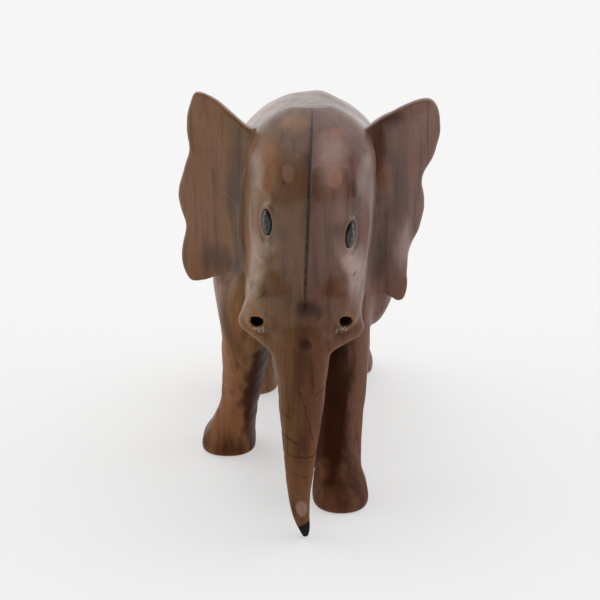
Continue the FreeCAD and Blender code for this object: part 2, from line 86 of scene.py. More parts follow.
DATUM = carver_datum()


def carver(point_m):
    """A place of the frame, in metres, as the carver counts it."""
    return np.array(point_m) / MM - DATUM


def framed(points):
    """The carver's millimetres as metres of the frame."""
    return (np.asarray(points) + DATUM) * MM


# ---------------------------------------------------------------- sizes and colours
def length_property(name, description, default_mm):
    return FloatProperty(
        name=name, description=description, default=default_mm * MM, unit="LENGTH", precision=5
    )


def colour_property(name, description, default):
    return FloatVectorProperty(
        name=name, description=description, subtype="COLOR", size=3, min=0, max=1, default=default
    )


class ElephantCarving(bpy.types.PropertyGroup):
    pitch: length_property("Pitch", "Spacing of the carving's distance field", 0.6)
    most_triangles: IntProperty(
        name="Most triangles", description="Triangles kept on the carving", default=190000
    )
    gouge: length_property("Gouge marks", "Height of the soft facets left by the gouge", 0.22)
    crease: length_property("Brow crease", "Depth of the cut down the middle of the face", 1.0)


class ElephantWood(bpy.types.PropertyGroup):
    sapwood: colour_property("Sapwood", "Yellow-brown wood on the right side", (0.25, 0.135, 0.052))
    amber: colour_property("Amber", "Orange-brown bands", (0.265, 0.112, 0.048))
    heartwood: colour_property("Heartwood", "Middle of the block", (0.135, 0.050, 0.026))
    mauve: colour_property("Mauve", "Purple-brown wood on the left side", (0.200, 0.098, 0.072))
    umber: colour_property("Umber", "Darkest stripes and knots", (0.034, 0.010, 0.005))


class ElephantInlays(bpy.types.PropertyGroup):
    horn: colour_property("Horn", "Polished inlay of the eyes", (0.014, 0.013, 0.014))
    horn_ring: colour_property("Horn ring", "Pale ring round the pupil", (0.11, 0.10, 0.09))
    glue: colour_property("Glue", "Old glue in the sockets", (0.085, 0.062, 0.020))
    crumb: colour_property("Crumbs", "Pale broken glue round the sockets", (0.52, 0.42, 0.29))
    crumb_count: IntProperty(name="Crumbs", description="Crumbs round each socket", default=26)


class ElephantStage(bpy.types.PropertyGroup):
    floor: colour_property("Floor", "Pale paper under the object", (0.50, 0.50, 0.498))
    glow: FloatProperty(
        name="Glow", description="Light that comes up through the paper", default=0.445
    )
    floor_size: FloatProperty(
        name="Floor size", description="Edge of the paper", default=24.0, unit="LENGTH"
    )
    dark_side: FloatProperty(
        name="Dark side", description="Brightness of the room behind the camera", default=0.06
    )
    bright_side: FloatProperty(
        name="Bright side", description="Brightness of the paper round the back", default=1.05
    )
    roof: FloatProperty(name="Roof", description="Brightness overhead", default=0.75)


# ---------------------------------------------------------------- distance field
def smooth_min(a, b, blend):
    """The lower of two distances, rounded where they are within blend of each other."""
    near = np.maximum(blend - np.abs(a - b), 0) / blend
    return np.minimum(a, b) - near * near * near * (blend / 6)


def smooth_max(a, b, blend):
    return -smooth_min(-a, -b, blend)


def curve(at, knots, values):
    """A smooth curve through (knots, values), held at its ends."""
    knots, values = np.asarray(knots, float), np.asarray(values, float)
    slopes = np.gradient(values, knots)
    at = np.clip(at, knots[0], knots[-1])
    i = np.clip(np.searchsorted(knots, at) - 1, 0, len(knots) - 2)
    step = knots[i + 1] - knots[i]
    t = (at - knots[i]) / step
    rise = (3 - 2 * t) * t * t
    swing = step * (slopes[i] * t * (1 - t) ** 2 - slopes[i + 1] * t * t * (1 - t))
    return (values[i] * (1 - rise) + values[i + 1] * rise + swing).astype(np.float32)


def fade(value, low, high):
    """0 below low, 1 above high, smooth between."""
    t = np.clip((value - low) / (high - low), 0, 1)
    return t * t * (3 - 2 * t)


def oval_distance(u, v, a, b, power):
    """About how far (u, v) lies outside an oval of half-sizes a and b."""
    u, v = np.abs(u) / a, np.abs(v) / b
    r = (u**power + v**power) ** (1 / power) + 1e-5
    slope = np.sqrt(((u / r) ** (power - 1) / a) ** 2 + ((v / r) ** (power - 1) / b) ** 2)
    return (r - 1) / np.maximum(slope, 1 / np.maximum(a, b))


def turned(stations, power, ends, along_y=False):
    """A mass whose cross-section changes along z, or along y.

    Each station is (place, across, other, half across, half other) in rising order of place.
    """
    columns = np.array(stations, float).T
    places = columns[0]

    def shape(x, y, z):
        along, other = (y, z) if along_y else (z, y)
        cx, cy, a, b = (curve(along, places, column) for column in columns[1:])
        body = oval_distance(x - cx, other - cy, a, b, power)
        body = smooth_max(body, along - places[-1], ends[1])
        return smooth_max(body, places[0] - along, ends[0])

    return shape


def egg(centre, radii):
    """An egg-shaped mass."""
    cx, cy, cz = centre
    a, b, c = radii

    def shape(x, y, z):
        u, v, w = (x - cx) / a, (y - cy) / b, (z - cz) / c
        r = np.sqrt(u * u + v * v + w * w) + 1e-5
        slope = np.sqrt((u / a) ** 2 + (v / b) ** 2 + (w / c) ** 2) + 1e-5
        return r * (r - 1) / slope

    return shape


def cord(start, end, start_radius, end_radius):
    """A rounded rod that tapers from start to end."""
    start, way = np.array(start, float), np.array(end, float) - np.array(start, float)
    length_2 = float(way @ way)

    def shape(x, y, z):
        dx, dy, dz = x - start[0], y - start[1], z - start[2]
        t = np.clip((dx * way[0] + dy * way[1] + dz * way[2]) / length_2, 0, 1)
        gap = np.sqrt((dx - t * way[0]) ** 2 + (dy - t * way[1]) ** 2 + (dz - t * way[2]) ** 2)
        return gap - (start_radius + (end_radius - start_radius) * t)

    return shape


def ripple(x, y, z, length, turn):
    """A soft, uneven wave of height about 1 and the given wavelength in millimetres."""
    k = 2 * math.pi / length
    return (
        np.sin(k * (x + 0.7 * z) + turn + 1.3 * np.sin(0.6 * k * y + turn))
        * np.sin(k * (0.8 * y - 0.5 * x) + 2.1 * turn)
        + 0.6 * np.sin(k * (1.4 * z - 0.6 * y) + 0.7 * turn + np.sin(k * 0.9 * x))
    ) * 0.6


class Block:
    """The wood as distances to its surface on a regular grid, negative inside."""

    FAR = 30.0

    def __init__(self, low, high, pitch):
        self.pitch = pitch
        self.low = np.array(low, float)
        counts = np.ceil((np.array(high) - self.low) / pitch).astype(int) + 1
        self.axes = [
            (start + pitch * np.arange(count)).astype(np.float32)
            for start, count in zip(self.low, counts)
        ]
        self.field = np.full(counts, self.FAR, np.float32)

    def window(self, low, high):
        """The part of the grid between two corners, and its coordinates."""
        picks = []
        for axis, start, end in zip(self.axes, low, high):
            first = int(np.searchsorted(axis, start))
            picks.append(slice(first, max(int(np.searchsorted(axis, end)), first + 1)))
        x, y, z = (axis[pick] for axis, pick in zip(self.axes, picks))
        return tuple(picks), x[:, None, None], y[None, :, None], z[None, None, :]

    def part(self, low, high):
        """Fresh wood on the same grid, between two corners, and where it lies."""
        picks = self.window(low, high)[0]
        part = object.__new__(Block)
        part.pitch = self.pitch
        part.axes = [axis[pick] for axis, pick in zip(self.axes, picks)]
        part.low = np.array([axis[0] for axis in part.axes])
        part.field = np.full([len(axis) for axis in part.axes], self.FAR, np.float32)
        return part, picks

    def add(self, shape, low, high, blend):
        picks, x, y, z = self.window(np.array(low) - blend, np.array(high) + blend)
        self.field[picks] = smooth_min(self.field[picks], shape(x, y, z), blend)

    def cut(self, shape, low, high, blend):
        picks, x, y, z = self.window(np.array(low) - blend, np.array(high) + blend)
        self.field[picks] = smooth_max(self.field[picks], -shape(x, y, z), blend)

    def press(self, change, low, high):
        """Raises the distances by change(x, y, z, field) inside a box: above 0 takes wood away."""
        picks, x, y, z = self.window(low, high)
        self.field[picks] += change(x, y, z, self.field[picks])

    def softened(self, steps):
        """The field averaged over a small cube, for telling ridges from hollows."""
        soft = np.clip(self.field, -6, 6)
        for axis in range(3):
            for _ in range(2):
                padded = np.concatenate(
                    [np.repeat(soft.take([0], axis), steps + 1, axis), soft,
                     np.repeat(soft.take([-1], axis), steps, axis)], axis
                )
                total = np.cumsum(padded, axis, dtype=np.float64)
                width = 2 * steps + 1
                soft = (
                    (total.take(range(width, total.shape[axis]), axis)
                     - total.take(range(total.shape[axis] - width), axis)) / width
                ).astype(np.float32)
        return soft

    def sample(self, values, points):
        """values at points, between grid places."""
        place = (points - self.low) / self.pitch
        base = np.clip(np.floor(place).astype(int), 0, np.array(values.shape) - 2)
        part = place - base
        total = np.zeros(len(points))
        for dx in (0, 1):
            for dy in (0, 1):
                for dz in (0, 1):
                    share = (
                        np.abs(1 - dx - part[:, 0]) * np.abs(1 - dy - part[:, 1])
                        * np.abs(1 - dz - part[:, 2])
                    )
                    total += share * values[base[:, 0] + dx, base[:, 1] + dy, base[:, 2] + dz]
        return total

    def skin(self):
        """Points and quads of the cut surface, in the carver's frame."""
        grid = openvdb.FloatGrid(background=3.0)
        grid.copyFromArray(np.clip(self.field, -3, 3), tolerance=0.0)
        points, quads = grid.convertToQuads(isovalue=0.0)
        return points * self.pitch + self.low, quads


# ---------------------------------------------------------------- masses
BARREL = [
    (-48, 0.0, 93, 15, 23), (-42, 0.0, 92, 24, 33), (-28, 0.2, 91, 31, 42),
    (-5, 0.8, 90, 35.5, 46), (22, 1.6, 90, 37.5, 49), (48, 1.8, 90, 36.5, 48.5),
    (66, 1.4, 88, 30.5, 41), (76, 1.0, 86, 21, 29), (81, 0.8, 85, 13, 18),
]
HEAD = [
    (73, -1.3, -62.5, 14, 13), (82, -0.6, -62, 20.6, 18.6), (90, 0.4, -57.5, 22.2, 22),
    (100, 1.2, -53.5, 23.2, 24.6), (114, 1.9, -50.5, 23.6, 25.4), (127, 2.3, -49, 23.5, 24),
    (138, 2.4, -47, 22.0, 19.8), (146, 2.4, -45, 16.6, 13), (151, 2.6, -44, 8.8, 6.5),
]
TRUNK = [
    (0.5, 0.3, -89.0, 0.8, 1.4), (2, 0.1, -88.6, 1.4, 2.1), (8, -1.2, -87.4, 2.9, 3.6),
    (16, -2.1, -85.0, 4.1, 4.8), (29, -1.8, -81.4, 5.8, 6.6), (38, -1.6, -79.2, 6.9, 7.8),
    (48, -1.3, -77.2, 8.1, 8.9), (60, -1.1, -74.8, 9.3, 10.4), (68, -1.6, -72.5, 10.9, 12.0),
    (76, -1.4, -69.0, 12.8, 13.6), (86, -0.6, -64.0, 13.0, 13.0),
]
LEGS = {
    "right_fore": [
        (0, -31.8, -12.5, 11.2, 11.6), (5, -31.6, -12.8, 11.3, 11.6), (12, -29.8, -14.6, 9.6, 10.4),
        (22, -27.2, -18.5, 8.2, 9.0), (35, -25.0, -23.5, 8.5, 9.6), (57, -22.9, -30.0, 9.9, 13.0),
        (76, -21.5, -33.0, 11.5, 16.0), (92, -19.0, -33.0, 9.0, 13.0),
    ],
    "left_fore": [
        (0, 13.9, -58.8, 10.8, 13.0), (5, 13.8, -58.4, 10.9, 12.9), (12, 13.1, -55.6, 9.4, 10.4),
        (20, 13.0, -53.0, 9.3, 9.4), (33, 13.6, -48.5, 9.7, 9.8), (46, 14.3, -43.5, 10.4, 11.0),
        (66, 14.6, -37.0, 11.0, 14.5), (80, 16.0, -34.0, 11.0, 16.0), (94, 16.0, -32.0, 8.0, 12.0),
    ],
    "right_hind": [
        (0, -23.6, 50.0, 11.4, 12.2), (5, -23.6, 50.0, 11.4, 12.2), (12, -23.2, 51.5, 9.8, 10.8),
        (24, -21.4, 55.0, 9.4, 10.2), (39, -21.6, 58.0, 11.0, 13.5), (55, -22.6, 57.0, 14.0, 18.5),
        (74, -22.5, 55.0, 14.4, 21.0), (96, -20.0, 53.0, 11.0, 17.0),
    ],
    "left_hind": [
        (0, 22.0, 71.0, 11.2, 12.0), (5, 22.0, 71.0, 11.2, 12.0), (12, 21.8, 69.5, 9.8, 10.6),
        (24, 21.2, 66.5, 9.3, 10.0), (39, 21.8, 64.0, 11.0, 13.0), (55, 23.4, 60.0, 14.0, 18.0),
        (74, 23.4, 56.0, 14.6, 21.0), (96, 21.0, 53.0, 11.0, 17.0),
    ],
}
TAIL = [
    ((0.8, 74.0, 117.0), 4.6), ((0.6, 81.5, 109.0), 3.8), ((0.2, 85.4, 95.0), 3.2),
    ((-0.6, 87.2, 78.0), 2.8), ((-1.2, 87.4, 62.0), 2.6), ((-1.6, 86.8, 54.0), 3.6),
    ((-1.8, 85.6, 46.0), 3.3), ((-1.8, 84.4, 40.5), 1.2),
]
EAR_OUTLINES = {
    RIGHT: [
        (-12, 138), (-20.5, 141.6), (-26.7, 146.6), (-32.8, 151.8), (-39.6, 154.2), (-42.6, 149.0),
        (-43.7, 141), (-42.9, 132.6), (-45.2, 125), (-47.5, 117), (-46.8, 110.4), (-45, 103.4),
        (-46.8, 94), (-46.2, 86.6), (-43.4, 82.0), (-38.3, 82.6), (-31.7, 85.2), (-24.8, 88.9),
        (-19.5, 92), (-12, 98),
    ],
    LEFT: [
        (12, 137), (22.3, 141), (29.6, 146.0), (36.9, 149.8), (45.0, 151.4), (48.8, 148.6),
        (50.3, 142), (50.0, 137), (47.4, 129.6), (44.7, 124.2), (44.1, 119.4), (45.1, 113.4),
        (45.2, 108.8), (43.6, 102.6), (40.8, 97.4), (39.4, 92.6), (39.2, 85.6), (39.4, 79.4),
        (38.2, 74.8), (35.8, 73.9), (32.8, 76.2), (28.4, 79.6), (24, 84), (12, 92),
    ],
}
CHEEKS = {RIGHT: (-24.0, -68.5, 78.2), LEFT: (21.4, -68.5, 75.4)}


def smooth_outline(points, per_span=8):
    """Points along a smooth closed curve through the given ones."""
    points = np.array(points, float)
    before, after = np.roll(points, 1, 0), np.roll(points, -1, 0)
    far = np.roll(points, -2, 0)
    t = (np.arange(per_span) / per_span)[:, None, None]
    spans = 0.5 * (
        2 * points + (after - before) * t + (2 * before - 5 * points + 4 * after - far) * t**2
        + (3 * points - before - 3 * after + far) * t**3
    )
    return spans.transpose(1, 0, 2).reshape(-1, 2)


def outline_distance(x, z, outline):
    """Signed distance from (x, z) to a closed outline, negative inside."""
    x, z = np.broadcast_arrays(x, z)
    nearest = np.full(x.shape, 1e9)
    inside = np.zeros(x.shape, bool)
    for (ax, az), (bx, bz) in zip(outline, np.roll(outline, -1, 0)):
        wx, wz = bx - ax, bz - az
        t = np.clip(((x - ax) * wx + (z - az) * wz) / (wx * wx + wz * wz), 0, 1)
        nearest = np.minimum(nearest, (x - ax - t * wx) ** 2 + (z - az - t * wz) ** 2)
        if az != bz:
            inside ^= ((az > z) != (bz > z)) & (x < wx * (z - az) / wz + ax)
    return np.where(inside, -1, 1) * np.sqrt(nearest)


def ear(side):
    """An ear blade: thick at the skull, thin at a rim that waves to and fro."""
    outline = smooth_outline(EAR_OUTLINES[side])

    def shape(x, y, z):
        edge = outline_distance(x, z, outline)
        out = np.abs(x) - 18
        rim = fade(edge, -9, 0)
        if side == RIGHT:
            middle = -37.5 + 0.10 * out + 0.9 * rim * np.sin((z - 92) / 7.0)
            thick = 5.4 - 1.7 * fade(out, 0, 22)
        else:
            dish = 2.4 * np.exp(-(((out - 5) / 4.5) ** 2)) - 2.2 * np.exp(-(((out - 17) / 9) ** 2))
            middle = -37.0 + 0.16 * out + dish + 1.1 * rim * np.sin((z - 100) / 6.5)
            thick = 5.6 - 1.8 * fade(out, 0, 24)
        return smooth_max(edge, np.abs(y - middle) - thick / 2, 1.7)

    return shape


EYE_TURN_DEG = 47.0
EYE_SLANT_DEG = {RIGHT: 3.0, LEFT: -9.0}
EYE_RIM_RISE = 0.67  # an eye's rim, in front of the middle of its inlay's box
EYE_HALF_LENGTH, EYE_HALF_HEIGHT = 2.35, 4.6
EYE_POWER = 1.8  # below 2, so that the oval is pointed like an almond
LID_WIDTH = 0.9


def eye_frame(side):
    """Middle of an eye's rim, and the ways across, up and out of it."""
    low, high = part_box(f"{SIDES[side]}_eye")
    turn = math.radians(EYE_TURN_DEG)
    out = np.array((side * math.sin(turn), -math.cos(turn), 0.0))
    slant = math.radians(EYE_SLANT_DEG[side])
    level = np.cross((0, 0, 1), out)
    across = level * math.cos(slant) + np.array((0, 0, 1)) * math.sin(slant)
    up = np.cross(out, across)
    middle = carver((np.array(low) + np.array(high)) / 2) + out * EYE_RIM_RISE
    return middle, across, up, out


def in_frame(x, y, z, eye):
    """Grid places counted across, up and out of an eye."""
    middle, across, up, out = eye
    dx, dy, dz = x - middle[0], y - middle[1], z - middle[2]
    return [dx * way[0] + dy * way[1] + dz * way[2] for way in (across, up, out)]


def socket_frame(side):
    """Middle of a socket's mouth, the way a tusk would leave, and the bore's sizes."""
    mount = MOUNTS[f"{SIDES[side]}_tusk_socket"]
    return carver(mount["pos_m"]), np.array(mount["axis"], float), mount["dims"]


def rough_out(block):
    """Barrel, neck and legs."""
    block.add(turned(BARREL, 2.1, (10, 9), along_y=True), (-40, -50, 38), (42, 83, 142), 6)
    spine = cord((2.5, -24, 132), (6.0, 40, 135.0), 3, 3)
    block.add(spine, (-4, -30, 126), (9, 46, 141), 9)
    block.add(egg((0.5, -36, 108), (24, 20, 34)), (-24, -57, 72), (26, -15, 143), 10)
    for stations in LEGS.values():
        columns = np.array(stations).T
        reach = np.array((columns[3].max(), columns[4].max()))
        low = (*(columns[1:3].min(1) - reach), -1)
        high = (*(columns[1:3].max(1) + reach), stations[-1][0])
        block.add(turned(stations, 2.25, (1.6, 14)), low, high, 7)


FOLD_DEPTH = 1.6


def shape_muscles(block):
    """Shoulders, haunches, the folds that part them from the barrel, and the tail."""
    for side in (RIGHT, LEFT):
        block.add(egg((side * 25, -24, 84), (11, 15, 24)), (side * 25 - 11, -39, 60),
                  (side * 25 + 11, -9, 108), 8)
        block.add(egg((side * 23, 54, 74), (15.2, 22, 30)), (side * 23 - 16, 32, 44),
                  (side * 23 + 16, 76, 104), 8)

    def folds(x, y, z, field):
        near = np.exp(-((field / 4) ** 2)) * fade(np.abs(x), 18, 28)
        behind_shoulder = np.exp(-(((y + 5 + 0.12 * (z - 80)) / 2.6) ** 2)) * fade(z, 38, 55)
        before_haunch = np.exp(-(((y - 33 + 0.1 * (z - 60)) / 2.8) ** 2)) * (1 - fade(z, 84, 108))
        return FOLD_DEPTH * near * (behind_shoulder * (1 - fade(z, 84, 106)) + before_haunch)

    block.press(folds, (-44, -20, 36), (44, 46, 110))
    rump = egg((1, 88, 64), (4.2, 10, 26))
    block.cut(rump, (-5, 78, 38), (7, 98, 88), 5)
    for (start, start_radius), (end, end_radius) in zip(TAIL, TAIL[1:]):
        low, high = np.minimum(start, end) - 5, np.maximum(start, end) + 5
        block.add(cord(start, end, start_radius, end_radius), low, high, 2.0)


def shape_head(block):
    """Skull, cheeks and lips, modelled apart and then blended into the neck."""
    head, picks = block.part((-34, -96, 56), (36, -12, 159))
    head.add(turned(HEAD, 2.35, (3, 5)), (-24, -84, 70), (26, -22, 153), 3)
    for side, apex in CHEEKS.items():
        middle = np.array((MUZZLE_SHIFT * 0.5, -71.0, 84.0))
        inner = middle + np.array((side * 11.0, -1.0, 4.0))
        head.add(cord(inner, np.array(apex) - (side * 3.4, -1.0, 0), 8.0, 3.4),
                 np.minimum(inner, apex) - 9, np.maximum(inner, apex) + 9, 5)
        lip_end = np.array((side * 9.2 - 1.4, -76.0, 71.5))
        lip_start = np.array(apex) - (side * 4.0, 1.8, 1.2)
        head.add(cord(lip_start, lip_end, 2.6, 3.2), np.minimum(lip_start, lip_end) - 4,
                 np.maximum(lip_start, lip_end) + 4, 4.5)
    head.cut(egg((-1, -55, 63.5), (13, 12, 8.5)), (-15, -68, 55), (13, -42, 73), 3)
    head.add(egg((-1, -60, 70.5), (6.4, 9.5, 6.0)), (-8, -70, 64), (6, -50, 77), 4)
    block.field[picks] = smooth_min(block.field[picks], head.field, 7)


def hang_trunk(block):
    """The trunk, down from between the cheeks almost to the floor."""
    block.add(turned(TRUNK, 2.3, (0.6, 8)), (-16, -92, 0), (14, -50, 88), 3.0)


def spread_ears(block):
    """Both ears, out from the sides of the skull."""
    block.add(ear(RIGHT), (-50, -48, 78), (-10, -26, 157), 4.5)
    block.add(ear(LEFT), (10, -48, 70), (53, -24, 155), 4.5)


HOLLOWS = [
    # middle, radii, depth: raised if below 0
    ((-15.0, -68, 123), (3.4, 8, 8), -0.8), ((17.4, -67, 122), (3.0, 8, 8), -1.2),
    ((-12.0, -69, 128), (4, 8, 6), 0.5), ((13.2, -69, 124), (3.6, 8, 6), 0.7),
    ((-19.5, -60, 104), (6, 10, 12), 0.8), ((21.5, -60, 102), (6, 10, 12), 0.9),
    ((-8.5, -76, 104), (5, 8, 12), 0.7), ((9.5, -76, 102), (5, 8, 12), 0.9),
    ((-10.5, -80, 82), (3.6, 6, 7), 0.9), ((8.6, -80, 82), (3.6, 6, 7), 0.9),
    ((29.5, -40, 121), (5, 6, 6), 0.8), ((-30, -40, 99), (7, 5, 8), 0.5),
    ((33.5, -41, 139), (2.6, 5, 3.2), 0.6), ((31.0, -41, 110), (2.4, 5, 4.0), 0.5),
]
TRUNK_RINGS = [
    # height, tilt, depth, the side it is cut on, or 0 for all the way across
    (55.5, 0.16, 0.30, 1), (50.0, -0.10, 0.16, -1), (44.0, 0.06, 0.22, 1),
    (38.5, -0.12, 0.20, -1), (31.5, 0.03, 0.30, 0), (25.0, 0.08, 0.16, 0),
]
RING_WIDTH = 0.7
FLATS_PER_LEG, FLAT_DEPTH = 7, 0.5


def face_line(z):
    """Where the crease of the face runs across, at height z."""
    return curve(z, (70, 88, 104, 122, 140, 152), (-0.9, -0.1, 0.3, 1.0, 1.6, 2.8))


def split_brow(crease):
    """The cut down the face, in a valley, with a raised lobe on its left."""

    def change(x, y, z, field):
        gap = x - face_line(z)
        front = fade(-y, 46, 54)
        deep = fade(z, 80, 96) * (1 - 0.45 * fade(z, 140, 151))
        sharp = np.exp(-((gap / 0.62) ** 2)) * crease
        valley = np.exp(-((gap / 4.0) ** 2)) * crease * 0.55
        lobe = np.exp(-(((gap - 3.6) / 3.2) ** 2)) * crease * 0.55 * fade(z, 112, 128)
        return (sharp + valley - lobe) * front * deep

    return change


def dent(middle, radii, depth):
    """A soft hollow, or a swelling where depth is below 0."""

    def change(x, y, z, field):
        r2 = sum(((c - m) / r) ** 2 for c, m, r in zip((x, y, z), middle, radii))
        return depth * np.exp(-1.4 * r2)

    return change


def trunk_rings(x, y, z, field):
    """Knife-cut wrinkles across the trunk."""
    rings = 0
    for height, tilt, depth, reach in TRUNK_RINGS:
        gap = z - height - tilt * x * 1.6 - 0.25 * np.sin(x * 0.9)
        side = 1.0 if reach == 0 else fade(reach * (x + 1.4), -2.0, 2.5)
        rings = rings + depth * side * np.exp(-((gap / RING_WIDTH) ** 2))
    return rings * fade(-y, 70, 76)


def knife_flats(columns, leg):
    """Long flats that the knife left round a leg."""

    def change(x, y, z, field):
        cx, cy = curve(z, columns[0], columns[1]), curve(z, columns[0], columns[2])
        turn = np.arctan2(y - cy, x - cx) / (2 * math.pi)
        share = (turn * FLATS_PER_LEG + 0.37 * leg + 0.004 * z) % 1.0
        return FLAT_DEPTH * (1 - (2 * share - 1) ** 2) * fade(z, 1, 5) * (1 - fade(z, 44, 62))

    return change


def gouge_marks(gouge):
    """Soft facets all over the block."""

    def change(x, y, z, field):
        marks = ripple(x, y, z, 23.0, 0.4) + 0.5 * ripple(x, y, z, 11.0, 2.2)
        calm = 1 - 0.55 * fade(-y, 48, 60)
        return gouge * marks * calm * fade(z, 0.8, 4.0)

    return change


def cut_detail(block, settings):
    """Crease of the face, hollows, wrinkles, knife flats and gouge marks."""
    block.press(split_brow(settings.crease / MM), (-14, -92, 78), (16, -44, 156))
    for middle, radii, depth in HOLLOWS:
        reach = 2 * np.array(radii)
        block.press(dent(middle, radii, depth), np.array(middle) - reach, np.array(middle) + reach)
    block.press(trunk_rings, (-14, -94, 20), (12, -66, 62))
    for leg, stations in enumerate(LEGS.values()):
        columns = np.array(stations, float).T
        low = (columns[1].min() - 16, columns[2].min() - 18, 0)
        high = (columns[1].max() + 16, columns[2].max() + 18, 62)
        block.press(knife_flats(columns, leg), low, high)
    block.press(gouge_marks(settings.gouge / MM), (-60, -100, 0.5), (60, 100, 160))


def scribe_tail(block):
    """Hairs cut into the tuft of the tail."""
    def hairs(x, y, z, field):
        turn = np.arctan2(y - 80.0, x + 1.5)
        return 0.28 * np.cos(turn * 9 + 0.25 * z) * (1 - fade(z, 50, 57)) * fade(y, 77, 79)

    block.press(hairs, (-8, 76, 36), (6, 92, 60))


def bed_eyes(block):
    """Flattens the wood round each eye, raises the lids and cuts the recess."""
    for side in (RIGHT, LEFT):
        eye = eye_frame(side)
        middle = eye[0]
        picks, x, y, z = block.window(middle - 13, middle + 13)
        s, t, n = in_frame(x, y, z, eye)
        field = block.field[picks]
        reach = np.sqrt(s**2 + (t / 1.35) ** 2)
        hold = (1 - fade(reach, 3.2, 11.0)) * (1 - fade(np.abs(n), 4.5, 9.0))
        dome = n + 0.035 * (s * s) + 0.012 * t * t
        field = field * (1 - hold) + dome * hold
        rim = oval_distance(s, t, EYE_HALF_LENGTH, EYE_HALF_HEIGHT, EYE_POWER)
        lid = np.exp(-(((rim - LID_WIDTH) / 0.75) ** 2)) * 0.55
        crease = np.exp(-(((rim - 2.5) / 0.62) ** 2)) * 0.5 * fade(side * s, -2.0, 2.5)
        near = 1 - fade(np.abs(n), 3.0, 6.0)
        field = field + near * (crease - lid)
        recess = smooth_max(rim - 0.12, np.abs(n - 1.8) - 3.3, 0.5)
        block.field[picks] = smooth_max(field, -recess, 0.3)


def bore_sockets(block):
    """Cuts each tusk hole along its mount, with a torn rim."""
    for side in (RIGHT, LEFT):
        mouth, out, dims = socket_frame(side)
        radius, depth = dims["r_mm"], dims["length_mm"]
        picks, x, y, z = block.window(mouth - 14, mouth + 14)
        dx, dy, dz = x - mouth[0], y - mouth[1], z - mouth[2]
        along = dx * out[0] + dy * out[1] + dz * out[2]
        off = np.sqrt(np.maximum(dx * dx + dy * dy + dz * dz - along * along, 0))
        field = block.field[picks]
        hold = (1 - fade(off, 2.6, 5.2)) * (1 - fade(np.abs(along), 3.5, 6.5))
        field = field * (1 - hold) + (along - 0.3 + 0.05 * off * off) * hold
        turn = np.arctan2(dz, dx * side)
        torn = 0.42 * np.sin(3 * turn + side) + 0.26 * np.sin(7 * turn + 2.0)
        flare = 0.9 * fade(along, -1.6, 0.8)
        hole = smooth_max(off - radius - flare * (0.6 + torn), -along - depth, 1.0)
        block.field[picks] = smooth_max(field, -hole, 0.25)


TIP_FACETS = [
    # a point on the facet, and the way it faces
    ((0.6, -90.9, 5.6), (0.30, -0.90, -0.34)), ((-2.6, -89.6, 12.5), (-0.42, -0.88, 0.10)),
]


def trim_trunk_tip(block):
    """Two knife facets at the end of the trunk."""
    for point, way in TIP_FACETS:
        way = np.array(way) / np.linalg.norm(way)
        picks, x, y, z = block.window((-8, -96, -1), (7, -80, 18))
        plane = (x - point[0]) * way[0] + (y - point[1]) * way[1] + (z - point[2]) * way[2]
        block.field[picks] = smooth_max(block.field[picks], plane, 0.35)


def sole_cut(block):
    """The four soles are sawn flat on the floor."""
    picks, _, _, z = block.window((-60, -100, -2), (60, 100, 3))
    block.field[picks] = smooth_max(block.field[picks], -z, 0.5)


def carve(settings):
    """The whole carving as a block of distances."""
    block = Block((-54, -96, -1.8), (57, 94, 159), settings.pitch / MM)
    rough_out(block)
    shape_muscles(block)
    shape_head(block)
    hang_trunk(block)
    spread_ears(block)
    cut_detail(block, settings)
    scribe_tail(block)
    bed_eyes(block)
    bore_sockets(block)
    trim_trunk_tip(block)
    sole_cut(block)
    return block


# ---------------------------------------------------------------- meshes
def new_mesh(name, points_mm, faces):
    """A mesh from points in the carver's frame and faces that all have the same corner count."""
    points = framed(points_mm).astype(np.float32)
    faces = np.asarray(faces, np.int32)
    mesh = bpy.data.meshes.new(name)
    mesh.vertices.add(len(points))
    mesh.vertices.foreach_set("co", points.ravel())
    mesh.loops.add(faces.size)
    mesh.loops.foreach_set("vertex_index", faces.ravel())
    mesh.polygons.add(len(faces))
    mesh.polygons.foreach_set("loop_start", np.arange(0, faces.size, faces.shape[1], dtype=np.int32))
    mesh.update(calc_edges=True)
    mesh.validate()
    return mesh


def link(mesh, name, material):
    """Puts a mesh in the scene, smooth and with one material."""
    piece = bpy.data.objects.new(name, mesh)
    bpy.context.scene.collection.objects.link(piece)
    mesh.materials.clear()
    mesh.materials.append(material)
    mesh.shade_smooth()
    return piece


def face_outwards(mesh):
    """Turns the faces so that they point out of a closed shape."""
    work = bmesh.new()
    work.from_mesh(mesh)
    if work.calc_volume(signed=True) < 0:
        bmesh.ops.reverse_faces(work, faces=work.faces)
    work.to_mesh(mesh)
    work.free()


def thinned(mesh, most):
    """A copy of mesh with at most so many triangles."""
    triangles = sum(len(face.vertices) - 2 for face in mesh.polygons)
    if triangles <= most:
        return mesh
    holder = bpy.data.objects.new("thinning", mesh)
    bpy.context.scene.collection.objects.link(holder)
    modifier = holder.modifiers.new("Thin", "DECIMATE")
    modifier.ratio = most / triangles
    depsgraph = bpy.context.evaluated_depsgraph_get()
    result = bpy.data.meshes.new_from_object(holder.evaluated_get(depsgraph))
    bpy.data.objects.remove(holder)
    bpy.data.meshes.remove(mesh)
    return result


def paint(mesh, name, values):
    """Stores one number for each vertex."""
    layer = mesh.attributes.new(name, "FLOAT", "POINT")
    layer.data.foreach_set("value", np.asarray(values, np.float32))


def vertices_mm(mesh):
    """A mesh's vertices as the carver counts them."""
    points = np.empty(len(mesh.vertices) * 3, np.float32)
    mesh.vertices.foreach_get("co", points)
    return points.reshape(-1, 3).astype(float) / MM - DATUM


